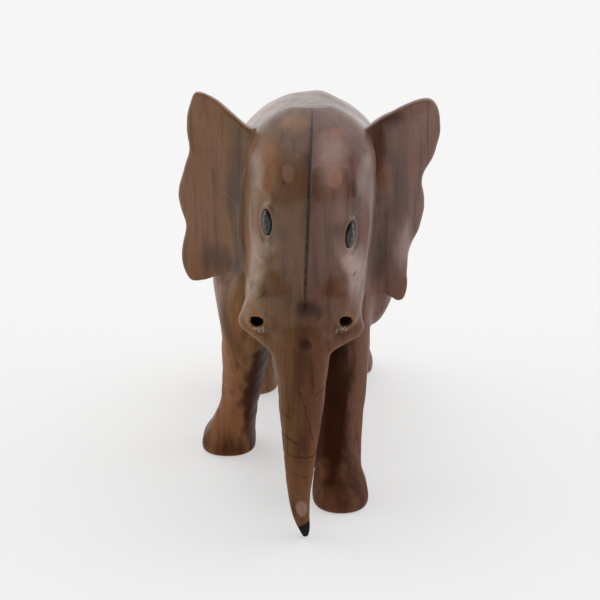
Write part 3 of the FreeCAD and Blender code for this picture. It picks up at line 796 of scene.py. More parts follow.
# ---------------------------------------------------------------- nodes
class Nodes:
    """Adds nodes to one tree and joins them up."""

    def __init__(self, tree):
        self.tree = tree

    def put(self, socket, value):
        if isinstance(value, bpy.types.NodeSocket):
            self.tree.links.new(value, socket)
        elif value is not None:
            if socket.type == "RGBA" and len(value) == 3:
                value = (*value, 1.0)
            socket.default_value = value

    def node(self, kind, *values, named=None, **settings):
        """A node with its settings, its first inputs in order, and any others by name."""
        node = self.tree.nodes.new(kind)
        for key, value in settings.items():
            setattr(node, key, value)
        for socket, value in zip(node.inputs, values):
            self.put(socket, value)
        for name, value in (named or {}).items():
            self.put(node.inputs[name], value)
        return node

    def math(self, operation, *values, clamp=False):
        return self.node("ShaderNodeMath", *values, operation=operation, use_clamp=clamp).outputs[0]

    def times(self, a, b):
        return self.math("MULTIPLY", a, b)

    def fused(self, value, factor, plus, clamp=False):
        return self.math("MULTIPLY_ADD", value, factor, plus, clamp=clamp)

    def vector(self, operation, *values):
        node = self.node("ShaderNodeVectorMath", *values, operation=operation)
        single = operation in ("LENGTH", "DOT_PRODUCT", "DISTANCE")
        return node.outputs["Value" if single else "Vector"]

    def step(self, value, low, high, bottom=0.0, top=1.0):
        node = self.node(
            "ShaderNodeMapRange", value, low, high, bottom, top, interpolation_type="SMOOTHSTEP"
        )
        return node.outputs[0]


class Shading(Nodes):
    """Builds one material's nodes."""

    def __init__(self, name):
        self.material = bpy.data.materials.new(name)
        self.material.use_nodes = True
        super().__init__(self.material.node_tree)
        self.tree.nodes.clear()
        self.skin = self.node("ShaderNodeBsdfPrincipled")
        self.node("ShaderNodeOutputMaterial", self.skin.outputs["BSDF"])

    def mix(self, factor, a, b, blend="MIX"):
        node = self.node("ShaderNodeMix", data_type="RGBA", blend_type=blend, clamp_factor=True)
        for index, value in ((0, factor), (6, a), (7, b)):  # the sockets that mix colours
            self.put(node.inputs[index], value)
        return node.outputs[2]

    def noise(self, place, scale, detail=2.0, roughness=0.5, distortion=0.0):
        named = {
            "Vector": place, "Scale": scale, "Detail": detail,
            "Roughness": roughness, "Distortion": distortion,
        }
        return self.node("ShaderNodeTexNoise", named=named).outputs["Fac"]

    def ramp(self, factor, stops):
        node = self.node("ShaderNodeValToRGB", factor)
        node.color_ramp.interpolation = "B_SPLINE"
        for _ in range(len(stops) - 2):
            node.color_ramp.elements.new(0.5)
        for element, (place, colour) in zip(node.color_ramp.elements, stops):
            element.position = place
            element.color = (*colour, 1.0)
        return node.outputs[0]

    def bump(self, height, strength, distance_mm):
        named = {"Strength": strength, "Distance": distance_mm * MM, "Height": height}
        return self.node("ShaderNodeBump", named=named).outputs[0]

    def attribute(self, name):
        return self.node("ShaderNodeAttribute", attribute_name=name).outputs["Fac"]

    def place_mm(self):
        """The surface point as the carver counts it."""
        place = self.node("ShaderNodeTexCoord").outputs["Object"]
        return self.vector("MULTIPLY_ADD", place, (1 / MM,) * 3, tuple(-DATUM))

    def finish(self, **inputs):
        for name, value in inputs.items():
            self.put(self.skin.inputs[name.replace("_", " ")], value)
        return self.material


def new_tree(name, kind, inputs, output):
    """A node group with named inputs and one output, with its given and result nodes."""
    tree = bpy.data.node_groups.new(name, kind)
    for label, socket in inputs.items():
        tree.interface.new_socket(label, in_out="INPUT", socket_type=socket)
    tree.interface.new_socket(output[0], in_out="OUTPUT", socket_type=output[1])
    work = Nodes(tree)
    return work, work.node("NodeGroupInput").outputs, work.node("NodeGroupOutput").inputs[0]


def scribe_group():
    """Node group: 1 on a line scribed from Start to End in the plane across the face."""
    vectors = dict.fromkeys(("Place", "Start", "End"), "NodeSocketVector")
    work, given, mask = new_tree(
        "scribed_line", "ShaderNodeTree", {**vectors, "Width": "NodeSocketFloat"},
        ("Mask", "NodeSocketFloat"),
    )
    reach = work.vector(
        "SUBTRACT", work.vector("MULTIPLY", given["Place"], (1, 0, 1)), given["Start"]
    )
    way = work.vector("SUBTRACT", given["End"], given["Start"])
    along = work.math(
        "DIVIDE", work.vector("DOT_PRODUCT", reach, way), work.vector("DOT_PRODUCT", way, way),
        clamp=True,
    )
    nearest = work.node("ShaderNodeVectorMath", way, named={"Scale": along}, operation="SCALE")
    gap = work.vector("DISTANCE", reach, nearest.outputs[0])
    work.put(mask, work.step(gap, 0, given["Width"], 1, 0))
    return work.tree


# ---------------------------------------------------------------- wood
BROWN = (0.140, 0.060, 0.030)
BANDS = [
    # place across the block, colour or the name of a colour setting
    (0.0, "amber"), (0.11, "amber"), (0.20, "sapwood"), (0.27, BROWN), (0.36, (0.17, 0.085, 0.036)),
    (0.45, "heartwood"), (0.54, BROWN), (0.62, "mauve"), (0.67, (0.16, 0.070, 0.048)),
    (0.73, (0.15, 0.065, 0.045)), (0.79, "mauve"), (1.0, (0.28, 0.155, 0.120)),
]
BANDS_START, BANDS_WIDTH = -42.0, 100.0
BAND_WANDER = 24.0
FIGURE_TILT = 0.04  # the bands drift across as they run back
BODY_SHIFT, LOBE_SHIFT = -9.0, 11.0  # behind the ears and on the left brow the bands step aside
BROW_LINE = (70.0, 152.0, -0.9, 2.6)  # crease of the face: from height, to height, and where it runs
GRAIN_TONES = [
    (0.0, (0.65,) * 3), (0.42, (0.92,) * 3), (0.6, (1.06,) * 3), (1.0, (1.35,) * 3),
]
# painted shade for the hollows, and paler wood rubbed on the edges
HOLLOW_SHADE, RUBBED = (0.020, 0.008, 0.005), (0.26, 0.13, 0.07)
DARK_LINE, PALE_LINE = (0.016, 0.006, 0.004), (0.30, 0.19, 0.12)
END_GRAIN = (0.018, 0.014, 0.013)
SCRIBED_LINES = [
    # (x, z) start, (x, z) end, width, strength: pale if below 0
    ((-2.4, 58.0), (0.0, 51.5), 0.38, 0.55), ((0.0, 51.5), (0.9, 46.5), 0.42, 0.7),
    ((0.9, 46.5), (2.7, 38.0), 0.36, 0.5), ((3.1, 55.2), (7.8, 57.2), 0.36, 0.5),
    ((-8.9, 48.2), (-4.9, 46.4), 0.55, 0.5), ((-7.3, 39.6), (-3.1, 37.6), 0.6, 0.7),
    ((-6.0, 32.6), (5.0, 31.4), 0.55, 0.55), ((-4.8, 26.0), (1.2, 24.6), 0.5, 0.4),
    ((-17.2, 89.0), (-14.0, 92.0), 0.5, 0.6), ((19.2, 88.0), (20.6, 92.5), 0.5, 0.7),
    ((17.3, 96.4), (17.8, 97.6), 0.6, 0.8), ((-37.5, 122.0), (-33.0, 119.5), 0.35, -0.5),
    ((-30.0, 117.5), (-25.5, 112.5), 0.35, -0.6), ((-41.0, 100.5), (-30.0, 100.0), 0.45, 0.3),
]
TONE_AND_LIGHT_PATCHES = [
    # middle, radii, colour, strength, softness of the edge; wood colour, and in the marked rows
    # painted shade, shadow and highlight
    ((-6.0, -71, 132.5), (2.4, 7, 3.8), (0.250, 0.125, 0.070), 0.85, 0.25),
    ((10.3, -70, 131.5), (2.7, 7, 4.6), (0.340, 0.150, 0.088), 0.92, 0.20),
    ((10.5, -62, 144.5), (5.5, 9, 2.6), (0.300, 0.130, 0.080), 0.65, 0.60),
    # painted highlight on the left lobe of the forehead
    ((9.0, -68, 136.5), (8.0, 14, 12.0), (0.400, 0.245, 0.205), 0.78, 0.80),
    ((-13.5, -62, 135.0), (6.0, 14, 17.0), (0.330, 0.150, 0.045), 0.62, 0.70),
    ((-5.0, -60, 148.0), (9.0, 12, 4.0), (0.320, 0.140, 0.055), 0.65, 0.60),
    # painted shadow under the right ear
    ((-24.0, -30, 87.0), (12.0, 20, 8.0), (0.040, 0.014, 0.008), 0.85, 0.60),
    ((-3.0, -68, 138.5), (1.6, 6, 1.3), (0.170, 0.085, 0.040), 0.60, 0.50),
    ((1.5, -84, 86.5), (6.8, 8, 5.4), (0.030, 0.004, 0.001), 0.99, 0.50),
    ((0.2, -84, 74.0), (3.6, 8, 2.8), (0.034, 0.009, 0.004), 0.75, 0.70),
    ((11.5, -74, 113.5), (4.6, 8, 4.6), (0.060, 0.020, 0.013), 0.60, 0.80),
    ((-8.5, -76, 112.0), (3.5, 8, 4.5), (0.060, 0.026, 0.017), 0.50, 0.80),
    # painted shade on the left foreleg behind the trunk
    ((9.0, -47, 36.0), (11.0, 24, 50.0), (0.042, 0.012, 0.005), 0.95, 0.32),
    ((-2.0, -88, 22.0), (8.0, 10, 14.0), (0.210, 0.092, 0.046), 0.65, 0.80),
    # painted shade on the inner side of the right foreleg
    ((-17.0, -22, 36.0), (11.0, 22, 46.0), (0.044, 0.013, 0.007), 0.95, 0.32),
    # painted shade under the chest, between the forelegs
    ((0.0, -45, 60.0), (20.0, 18, 12.0), (0.018, 0.006, 0.004), 0.90, 0.50),
    ((33.5, -42, 137.0), (4.5, 14, 8.0), (0.230, 0.120, 0.080), 0.55, 0.80),
    ((25.5, -30, 44.0), (3.0, 22, 40.0), (0.170, 0.084, 0.056), 0.60, 0.80),
    ((-26.5, -42, 118.0), (5.0, 12, 14.0), (0.070, 0.042, 0.026), 0.60, 0.70),
    # painted shade on the lower right ear
    ((-33.5, -42, 92.5), (8.0, 12, 7.5), (0.058, 0.027, 0.020), 0.60, 0.60),
    # painted shade in the channel at the root of the left ear
    ((28.0, -42, 92.0), (5.0, 14, 14.0), (0.050, 0.016, 0.009), 0.75, 0.60),
    ((31.0, -42, 145.0), (7.0, 14, 4.0), (0.060, 0.020, 0.012), 0.60, 0.70),
    # painted highlight on the lower left ear
    ((37.8, -42, 95.5), (5.4, 14, 13.0), (0.440, 0.310, 0.275), 0.88, 0.75),
    ((30.0, -42, 122.0), (4.0, 14, 14.0), (0.300, 0.150, 0.100), 0.70, 0.70),
    ((13.9, -57, 3.0), (17.0, 17, 17.0), (0.046, 0.014, 0.006), 0.88, 0.60),
    ((-31.0, -12, 2.0), (17.0, 18, 15.0), (0.058, 0.017, 0.006), 0.90, 0.60),
    # painted reflection of the bright room on both cheeks
    ((-18.0, -70, 103.0), (4.6, 14, 12.0), (0.340, 0.205, 0.140), 0.70, 0.85),
    ((16.8, -70, 99.0), (5.6, 14, 13.0), (0.460, 0.310, 0.260), 0.80, 0.85),
    ((-1.4, -88, 12.4), (2.4, 6, 3.6), (0.340, 0.200, 0.150), 0.90, 0.30),
]


def patch(shade, place, colour, middle, radii, patch_colour, strength, softness, wander):
    """Mixes an egg-shaped patch with a wandering edge into a colour."""
    reach = shade.vector("DIVIDE", shade.vector("SUBTRACT", place, middle), radii)
    size = shade.math("ADD", shade.vector("LENGTH", reach), wander)
    mask = shade.step(size, 1.05, 1.0 - softness, 0.0, strength)
    return shade.mix(mask, colour, patch_colour)


def stretched(shade, place, *scales):
    """The place for a noise that is drawn out where a scale is small."""
    return shade.vector("MULTIPLY", place, scales)


def banded(shade, wood, place, x, y, off_line, lobe):
    """Colour bands across the block, from sapwood to heartwood and back."""
    warp = shade.noise(stretched(shade, place, 1.0, 0.8, 0.20), 0.050, 3.0, 0.55)
    across = shade.fused(shade.math("SUBTRACT", warp, 0.5), BAND_WANDER, x)
    across = shade.fused(y, FIGURE_TILT, across)
    across = shade.fused(shade.step(y, -35.0, -10.0), BODY_SHIFT, across)
    across = shade.fused(shade.times(lobe, shade.step(off_line, -0.3, 0.5)), LOBE_SHIFT, across)
    stops = [
        (at, tuple(getattr(wood, tone)) if isinstance(tone, str) else tone) for at, tone in BANDS
    ]
    return shade.ramp(
        shade.math("DIVIDE", shade.math("ADD", across, -BANDS_START), BANDS_WIDTH), stops
    )


def streaked(shade, wood, place, colour):
    """Soft broken streaks, long up the block, and dark clouds."""
    amber, umber = tuple(wood.amber), tuple(wood.umber)
    streak = shade.noise(stretched(shade, place, 1.0, 0.7, 0.055), 0.40, 3.0, 0.55, 0.4)
    colour = shade.mix(shade.step(streak, 0.50, 0.70, 0.0, 0.42), colour, umber)
    colour = shade.mix(shade.step(streak, 0.44, 0.28, 0.0, 0.30), colour, amber)
    cloud = shade.noise(stretched(shade, place, 1.0, 0.8, 0.22), 0.10, 2.0, 0.45)
    return shade.mix(shade.step(cloud, 0.50, 0.76, 0.0, 0.55), colour, umber), cloud


def scribed(shade, place, y, z, off_line, front):
    """Masks of the dark lines, painted shade in the cut down the face among them, and of the pale
    ones.
    """
    # The bottom of the cut down the face is painted dark as shade.
    brow_crease_shade = shade.step(shade.math("ABSOLUTE", off_line), 0.62, 0.12, 0.0, 0.85)
    dark = shade.times(shade.times(brow_crease_shade, shade.step(z, 84.0, 100.0)), front)
    pale = 0.0
    group = scribe_group()
    jitter = shade.node("ShaderNodeTexNoise", place, None, 0.8).outputs["Color"]
    jitter = shade.vector("SUBTRACT", jitter, (0.5, 0.5, 0.5))
    shaken = shade.vector("ADD", place, stretched(shade, jitter, 1.6, 0, 1.6))
    for (x1, z1), (x2, z2), width, strength in SCRIBED_LINES:
        line = shade.node(
            "ShaderNodeGroup", node_tree=group,
            named={"Place": shaken, "Start": (x1, 0, z1), "End": (x2, 0, z2), "Width": width},
        )
        mask = shade.times(line.outputs[0], abs(strength))
        if strength > 0:
            dark = shade.math("MAXIMUM", dark, shade.times(mask, front))
        else:
            pale = shade.math("MAXIMUM", pale, mask)
    return dark, shade.times(pale, shade.step(y, -30.0, -34.0))


def wood_material(wood):
    """Striped hardwood: sapwood to heartwood across the block, grain upright, wax polish."""
    shade = Shading("striped_hardwood")
    place = shade.place_mm()
    x, y, z = shade.node("ShaderNodeSeparateXYZ", place).outputs
    front = shade.step(y, -44.0, -52.0)
    off_line = shade.math(
        "SUBTRACT", x, shade.node("ShaderNodeMapRange", z, *BROW_LINE).outputs[0]
    )
    lobe = shade.times(front, shade.step(z, 88.0, 112.0))
    colour = banded(shade, wood, place, x, y, off_line, lobe)
    colour, cloud = streaked(shade, wood, place, colour)
    wander = shade.noise(stretched(shade, place, 1.0, 1.0, 0.4), 0.22, 2.0, 0.45)
    wander = shade.fused(wander, 0.8, -0.4)
    # Patches of wood colour, and of painted shade, painted shadow and painted highlight.
    for row in TONE_AND_LIGHT_PATCHES:
        colour = patch(shade, place, colour, *row, wander)
    # Fine grain, pores and flecks, long along the block.
    grain_place = stretched(shade, place, 1.0, 1.0, 0.07)
    grain = shade.noise(grain_place, 1.5, 5.0, 0.65, 0.4)
    colour = shade.mix(1.0, colour, shade.ramp(grain, GRAIN_TONES), "MULTIPLY")
    pores = shade.step(shade.noise(grain_place, 5.5, 2.0, 0.5), 0.60, 0.72)
    colour = shade.mix(shade.times(pores, 0.42), colour, tuple(wood.umber))
    # Hollows are painted darker as shade, and edges are rubbed paler.
    hollow, wear = shade.attribute("hollow"), shade.attribute("wear")
    colour = shade.mix(shade.times(hollow, 0.62), colour, HOLLOW_SHADE)
    colour = shade.mix(shade.times(wear, 0.30), colour, RUBBED)
    dark_lines, pale_lines = scribed(shade, place, y, z, off_line, front)
    # Dark lines, with painted shade in the cut down the face.
    colour = shade.mix(dark_lines, colour, DARK_LINE)
    colour = shade.mix(shade.times(pale_lines, 0.5), colour, PALE_LINE)
    colour = socket_colours(shade, place, colour, wander)
    # The end of the trunk is dark, dry end grain below a slanting cut.
    slant = shade.fused(x, -0.55, z)
    tip = shade.times(shade.step(slant, 7.4, 6.6), shade.step(y, -80.0, -84.0))
    colour = shade.mix(tip, colour, END_GRAIN)
    roughness = shade.fused(cloud, 0.16, 0.27)
    roughness = shade.fused(hollow, 0.18, roughness)
    roughness = shade.fused(tip, 0.30, roughness, clamp=True)
    height = shade.fused(grain, 0.5, shade.times(pores, -0.5))
    height = shade.fused(dark_lines, -2.6, height)
    height = shade.fused(shade.noise(place, 0.42, 2.0, 0.5), 1.8, height)
    # Handling has polished head and back more than legs and trunk.
    high, back = shade.step(z, 66.0, 104.0, 0.05, 0.34), shade.step(y, -30.0, 0.0, 0.0, 0.25)
    polish = shade.times(shade.math("ADD", high, back), shade.step(z, 20.0, 90.0, 0.35, 1.0))
    return shade.finish(
        Base_Color=colour, Roughness=roughness, Normal=shade.bump(height, 0.55, 0.10),
        Specular_IOR_Level=polish, Coat_Weight=polish, Coat_Roughness=0.15,
    )


TORN_WOOD, CHALKY = (0.30, 0.125, 0.04), (0.30, 0.22, 0.15)
# painted shade deep in each tusk hole, olive with old glue on the left
SOCKET_SHADE_AND_GLUE = {RIGHT: (0.010, 0.006, 0.004), LEFT: (0.050, 0.038, 0.014)}


def socket_colours(shade, place, colour, wander):
    """Torn pale wood round each tusk hole, and painted shade inside it, with the olive of old glue
    on the left.
    """
    ragged = shade.fused(shade.noise(place, 1.1, 4.0, 0.7), 1.8, -0.9)
    for side in (RIGHT, LEFT):
        mouth, out, dims = socket_frame(side)
        crown = tuple(mouth + np.array((0.2 * side, 0, 0.7)))
        below = tuple(mouth + np.array((-0.8 * side, 0, -3.0)))
        inside = tuple(mouth - out * 4.6)
        torn_reach = (dims["r_mm"] + 1.5,) * 3
        colour = patch(shade, place, colour, crown, torn_reach, TORN_WOOD, 0.7, 0.35, ragged)
        colour = patch(shade, place, colour, below, (3.2, 4.0, 1.6), CHALKY, 0.55, 0.70, wander)
        # painted shade inside the hole
        colour = patch(
            shade, place, colour, inside, (5.0,) * 3, SOCKET_SHADE_AND_GLUE[side], 1.0, 0.18, 0.0
        )
    return colour


# ---------------------------------------------------------------- other materials
def horn_material(inlays):
    """Polished dark horn with a pale ring round the pupil and faint streaks."""
    shade = Shading("dark_horn")
    ring = shade.attribute("ring")
    streak = shade.noise(stretched(shade, shade.place_mm(), 2.0, 2.0, 0.35), 1.2, 4.0, 0.6)
    horn, pale = tuple(inlays.horn), tuple(inlays.horn_ring)
    colour = shade.mix(shade.step(streak, 0.48, 0.70, 0.0, 0.65), horn, (0.05, 0.045, 0.038))
    band = shade.times(shade.step(ring, 0.24, 0.31), shade.step(ring, 0.44, 0.36))
    colour = shade.mix(shade.times(band, 0.85), colour, pale)
    colour = shade.mix(shade.step(ring, 0.80, 1.0, 0.0, 0.9), colour, (0.006, 0.005, 0.005))
    rim_ring = shade.times(shade.step(ring, 0.66, 0.70), shade.step(ring, 0.80, 0.74))
    colour = shade.mix(shade.times(rim_ring, 0.5), colour, pale)
    return shade.finish(
        Base_Color=colour, Roughness=shade.fused(streak, 0.12, 0.18),
        Normal=shade.bump(shade.fused(band, 0.8, streak), 0.25, 0.04),
        Specular_IOR_Level=0.3, Coat_Weight=0.2, Coat_Roughness=0.08,
    )


def bead_material():
    """Glossy black bead with a breath of brown in it."""
    shade = Shading("pupil_glass")
    cloud = shade.noise(shade.place_mm(), 1.6, 2.0, 0.5)
    return shade.finish(
        Base_Color=shade.mix(cloud, (0.004, 0.004, 0.005), (0.016, 0.010, 0.008)),
        Roughness=shade.fused(cloud, 0.08, 0.05), Coat_Weight=0.5, Coat_Roughness=0.04,
    )


def glue_material(name, colour, pale):
    """Old glue: cloudy, crazed and dull."""
    shade = Shading(name)
    place = shade.place_mm()
    cloud = shade.noise(place, 1.1, 4.0, 0.65)
    cracks = shade.node(
        "ShaderNodeTexVoronoi", feature="DISTANCE_TO_EDGE", named={"Vector": place, "Scale": 1.4}
    )
    craze = shade.step(cracks.outputs["Distance"], 0.0, 0.08, 1.0, 0.0)
    tone = shade.mix(shade.step(cloud, 0.35, 0.70), colour, pale)
    tone = shade.mix(shade.times(craze, 0.5), tone, (0.02, 0.014, 0.006))
    return shade.finish(
        Base_Color=tone, Roughness=shade.fused(cloud, 0.30, 0.40),
        Normal=shade.bump(shade.math("SUBTRACT", cloud, craze), 0.6, 0.08),
    )


def paper_material(colour, glow):
    """Pale seamless paper, lit a little from below."""
    shade = Shading("studio_paper")
    place = shade.node("ShaderNodeTexCoord").outputs["Object"]
    tooth = shade.noise(place, 900.0, 3.0, 0.6)
    cream = shade.mix(shade.noise(place, 3.0, 2.0, 0.5), colour, tuple(c * 0.985 for c in colour))
    return shade.finish(
        Base_Color=cream, Roughness=shade.fused(tooth, 0.1, 0.85), Specular_IOR_Level=0.1,
        Emission_Color=(1.0, 1.0, 0.995), Emission_Strength=glow,
    )


# ---------------------------------------------------------------- pieces
WEAR_REACH = 3  # grid steps over which ridges and hollows are told apart


def settle(mesh, name, material, node=None):
    """Links a finished mesh: what it stands for, its finish, and the body that it rides on."""
    piece = link(mesh, name, material)
    if node:
        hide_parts(node)
    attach(piece, BODY)
    return piece


def closed_mesh(work, name):
    """Turns a bmesh into a mesh whose faces point outwards."""
    bmesh.ops.recalc_face_normals(work, faces=work.faces)
    mesh = bpy.data.meshes.new(name)
    work.to_mesh(mesh)
    work.free()
    face_outwards(mesh)
    return mesh


def build_carving(settings, wood):
    """The carving as one closed mesh, with its worn edges and the hollows for painted shade marked.
    """
    block = carve(settings)
    mesh = new_mesh("carved_elephant", *block.skin())
    face_outwards(mesh)
    mesh = thinned(mesh, settings.most_triangles)
    mesh.name = "carved_elephant"
    bend = block.sample(block.softened(WEAR_REACH), vertices_mm(mesh))
    paint(mesh, "wear", fade(bend, 0.30, 1.10))
    # Hollows, where the wood is painted darker as shade.
    paint(mesh, "hollow", fade(-bend, 0.10, 0.75))
    settle(mesh, "carved_elephant", wood_material(wood), "carved_body")


EYE_DOME, EYE_SEAT = 1.15, 1.4
EYE_DOME_POWER = 0.75
EYE_SEGMENTS, EYE_RINGS = 56, 14


def build_eye(side, material):
    """An almond of horn, domed in front and flat behind, with its middle on the eye's rim plane."""
    middle, across, up, out = eye_frame(side)
    turns = np.arange(EYE_SEGMENTS) * 2 * math.pi / EYE_SEGMENTS
    rim_s, rim_t = (
        half * np.sign(wave) * np.abs(wave) ** (2 / EYE_POWER)
        for half, wave in ((EYE_HALF_LENGTH, np.cos(turns)), (EYE_HALF_HEIGHT, np.sin(turns)))
    )
    points, rings = [], []
    for i in range(1, EYE_RINGS + 1):
        share = i / EYE_RINGS
        crown = middle + out * EYE_DOME * (1 - share**2) ** EYE_DOME_POWER
        points += [crown + (across * s + up * t) * share for s, t in zip(rim_s, rim_t)]
        rings += [share] * EYE_SEGMENTS
    points += [middle + across * s + up * t - out * EYE_SEAT for s, t in zip(rim_s, rim_t)]
    rings += [1.0] * EYE_SEGMENTS
    points += [middle + out * EYE_DOME, middle - out * EYE_SEAT]
    rings += [0.0, 1.0]
    top, bottom = len(points) - 2, len(points) - 1
    work = bmesh.new()
    verts = [work.verts.new(framed(point)) for point in points]
    for j in range(EYE_SEGMENTS):
        k = (j + 1) % EYE_SEGMENTS
        work.faces.new((verts[top], verts[j], verts[k]))
        for i in range(EYE_RINGS):
            a, b = i * EYE_SEGMENTS, (i + 1) * EYE_SEGMENTS
            work.faces.new((verts[a + j], verts[b + j], verts[b + k], verts[a + k]))
        last = EYE_RINGS * EYE_SEGMENTS
        work.faces.new((verts[last + j], verts[bottom], verts[last + k]))
    name = f"{SIDES[side]}_eye_inlay"
    mesh = closed_mesh(work, name)
    paint(mesh, "ring", rings)
    settle(mesh, name, material, f"{SIDES[side]}_eye")


PUPIL_RADIUS, PUPIL_TALL = 0.85, 1.3
PUPIL_PROUD, PUPIL_ROOT = 0.30, 0.8  # shares of its radius


def build_pupil(side, material):
    """A bead set in the middle of the eye."""
    middle, across, up, out = eye_frame(side)
    crown = middle + out * EYE_DOME
    work = bmesh.new()
    bmesh.ops.create_icosphere(work, subdivisions=3, radius=1.0)
    for vert in work.verts:
        s, t, n = vert.co
        n *= PUPIL_PROUD if n > 0 else PUPIL_ROOT
        vert.co = framed(crown + (across * s + up * t * PUPIL_TALL + out * n) * PUPIL_RADIUS)
    name = f"{SIDES[side]}_pupil_bead"
    settle(closed_mesh(work, name), name, material, f"{SIDES[side]}_pupil")


CRUMB_SIZE = 0.26
CRUMB_SEED, TURN_SEED, STRETCH_SEED = 11, 3, 5
CRUMB_SHAPES = ((0.45, 0.6, 0.3), (2.4, 1.2, 0.8))
CRUMB_BED_SHIFT, CRUMB_BED_REACH = (-1.0, 0.0, -3.1), (3.4, 4.0, 1.5)
FULL_TURN = (6.28, 6.28, 6.28)


def crumb_tree(material):
    """Geometry Nodes: broken crumbs scattered on a bed of faces."""
    inputs = {
        "Geometry": "NodeSocketGeometry", "Density": "NodeSocketFloat",
        "Crumb size": "NodeSocketFloat",
    }
    work, given, result = new_tree(
        "socket_crumbs", "GeometryNodeTree", inputs, ("Geometry", "NodeSocketGeometry")
    )
    scatter = work.node(
        "GeometryNodeDistributePointsOnFaces",
        named={"Seed": CRUMB_SEED, "Mesh": given["Geometry"], "Density": given["Density"]},
    )
    crumb = work.node(
        "GeometryNodeMeshIcoSphere", named={"Subdivisions": 2, "Radius": given["Crumb size"]}
    )
    turn, stretch = (
        work.node(
            "FunctionNodeRandomValue", low, high, named={"Seed": seed}, data_type="FLOAT_VECTOR"
        )
        for low, high, seed in (((0, 0, 0), FULL_TURN, TURN_SEED), (*CRUMB_SHAPES, STRETCH_SEED))
    )
    copies = work.node(
        "GeometryNodeInstanceOnPoints",
        named={"Points": scatter.outputs["Points"], "Instance": crumb.outputs["Mesh"],
               "Rotation": turn.outputs[0], "Scale": stretch.outputs[0]},
    )
    solid = work.node("GeometryNodeRealizeInstances", copies.outputs[0])
    dress = work.node(
        "GeometryNodeSetMaterial", named={"Material": material, "Geometry": solid.outputs[0]}
    )
    work.put(result, dress.outputs[0])
    return work.tree


def crumb_bed(carving):
    """The wood just below each tusk hole, as a mesh."""
    places = vertices_mm(carving.data)
    work = bmesh.new()
    work.from_mesh(carving.data)
    keep = np.zeros(len(places), bool)
    for side in (RIGHT, LEFT):
        mouth, out, dims = socket_frame(side)
        spot = mouth + np.array(CRUMB_BED_SHIFT) * (side, 1, 1)
        reach = (places - spot) / np.array(CRUMB_BED_REACH)
        off = places - mouth
        bore = np.sqrt(np.maximum((off**2).sum(1) - (off @ out) ** 2, 0))
        keep |= ((reach**2).sum(1) < 1) & (bore > dims["r_mm"] + 0.2)
    work.verts.ensure_lookup_table()
    unwanted = [vert for vert, kept in zip(work.verts, keep) if not kept]
    bmesh.ops.delete(work, geom=unwanted, context="VERTS")
    area = sum(face.calc_area() for face in work.faces)
    mesh = bpy.data.meshes.new("socket_crumbs")
    work.to_mesh(mesh)
    work.free()
    return mesh, area


def build_crumbs(carving, inlays):
    """Crumbs of old glue on the wood below each tusk hole."""
    mesh, area = crumb_bed(carving)
    material = glue_material("glue_crumbs", tuple(inlays.crumb), (0.66, 0.58, 0.44))
    bed = bpy.data.objects.new("crumb_bed", mesh)
    bpy.context.scene.collection.objects.link(bed)
    tree = crumb_tree(material)
    modifier = bed.modifiers.new("Crumbs", "NODES")
    modifier.node_group = tree
    sockets = {
        item.name: item.identifier for item in tree.interface.items_tree if item.in_out == "INPUT"
    }
    modifier[sockets["Density"]] = len(SIDES) * inlays.crumb_count / area
    modifier[sockets["Crumb size"]] = CRUMB_SIZE * MM
    bed.update_tag()
    depsgraph = bpy.context.evaluated_depsgraph_get()
    crumbs = bpy.data.meshes.new_from_object(bed.evaluated_get(depsgraph))
    bpy.data.objects.remove(bed)
    crumbs.name = "socket_crumbs"
    settle(crumbs, "socket_crumbs", material)


def dress_glue(material):
    """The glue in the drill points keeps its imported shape."""
    for name in SIDES.values():
        for slot in frame["nodes"][f"{name}_socket_glue"].material_slots:
            slot.material = material


# ---------------------------------------------------------------- stage
CAMERA_PLACE = (-1.8, -500.0, 242.6)
CAMERA_DOWN_DEG = 20.0
CAMERA_LENS, CAMERA_SENSOR = 76.7, 36
CAMERA_CLIP = (0.02, 60)
FRONT_EDGE = (-0.70, 0.30)  # the room fades from dark to bright between these, front to back
ROOF_EDGE = (0.62, 0.95)  # and is lit overhead above these
HORIZON_EDGE, HORIZON_GLOW = (0.10, 0.26), 0.93
SUNS = [
    # name, way it shines, softness in degrees, strength
    ("roof_glow", (-0.10, -0.15, -1.0), 70.0, 0.50), ("left_glow", (-1.0, -0.15, -0.05), 50.0, 0.72),
    ("right_glow", (1.0, -0.15, -0.05), 50.0, 0.66),
]


def set_camera(scene):
    """The view from in front and a little above."""
    camera = bpy.data.objects.new("camera", bpy.data.cameras.new("camera"))
    scene.collection.objects.link(camera)
    camera.location = Vector(framed(CAMERA_PLACE))
    camera.rotation_euler = (math.radians(90 - CAMERA_DOWN_DEG), 0, 0)
    camera.data.lens, camera.data.sensor_width = CAMERA_LENS, CAMERA_SENSOR
    camera.data.clip_start, camera.data.clip_end = CAMERA_CLIP
    scene.camera = camera
    scene.view_settings.view_transform = "Standard"
    scene.view_settings.look = "None"


def light_tent(settings):
    """A pale room: dark behind the camera, bright round the back, overhead and at the horizon."""
    world = bpy.data.worlds.new("light_tent")
    world.use_nodes = True
    world.node_tree.nodes.clear()
    work = Nodes(world.node_tree)
    place = work.node("ShaderNodeTexCoord").outputs["Generated"]
    split = work.node("ShaderNodeSeparateXYZ", place).outputs
    front = work.step(split["Y"], *FRONT_EDGE, settings.dark_side, settings.bright_side)
    roof = work.step(split["Z"], *ROOF_EDGE, 0.0, settings.roof)
    horizon = work.step(split["Z"], *HORIZON_EDGE, HORIZON_GLOW, 0.0)
    glow = work.math("MAXIMUM", work.math("MAXIMUM", front, roof), horizon)
    background = work.node("ShaderNodeBackground", (1.0, 1.0, 1.0), glow)
    work.node("ShaderNodeOutputWorld", background.outputs[0])
    return world


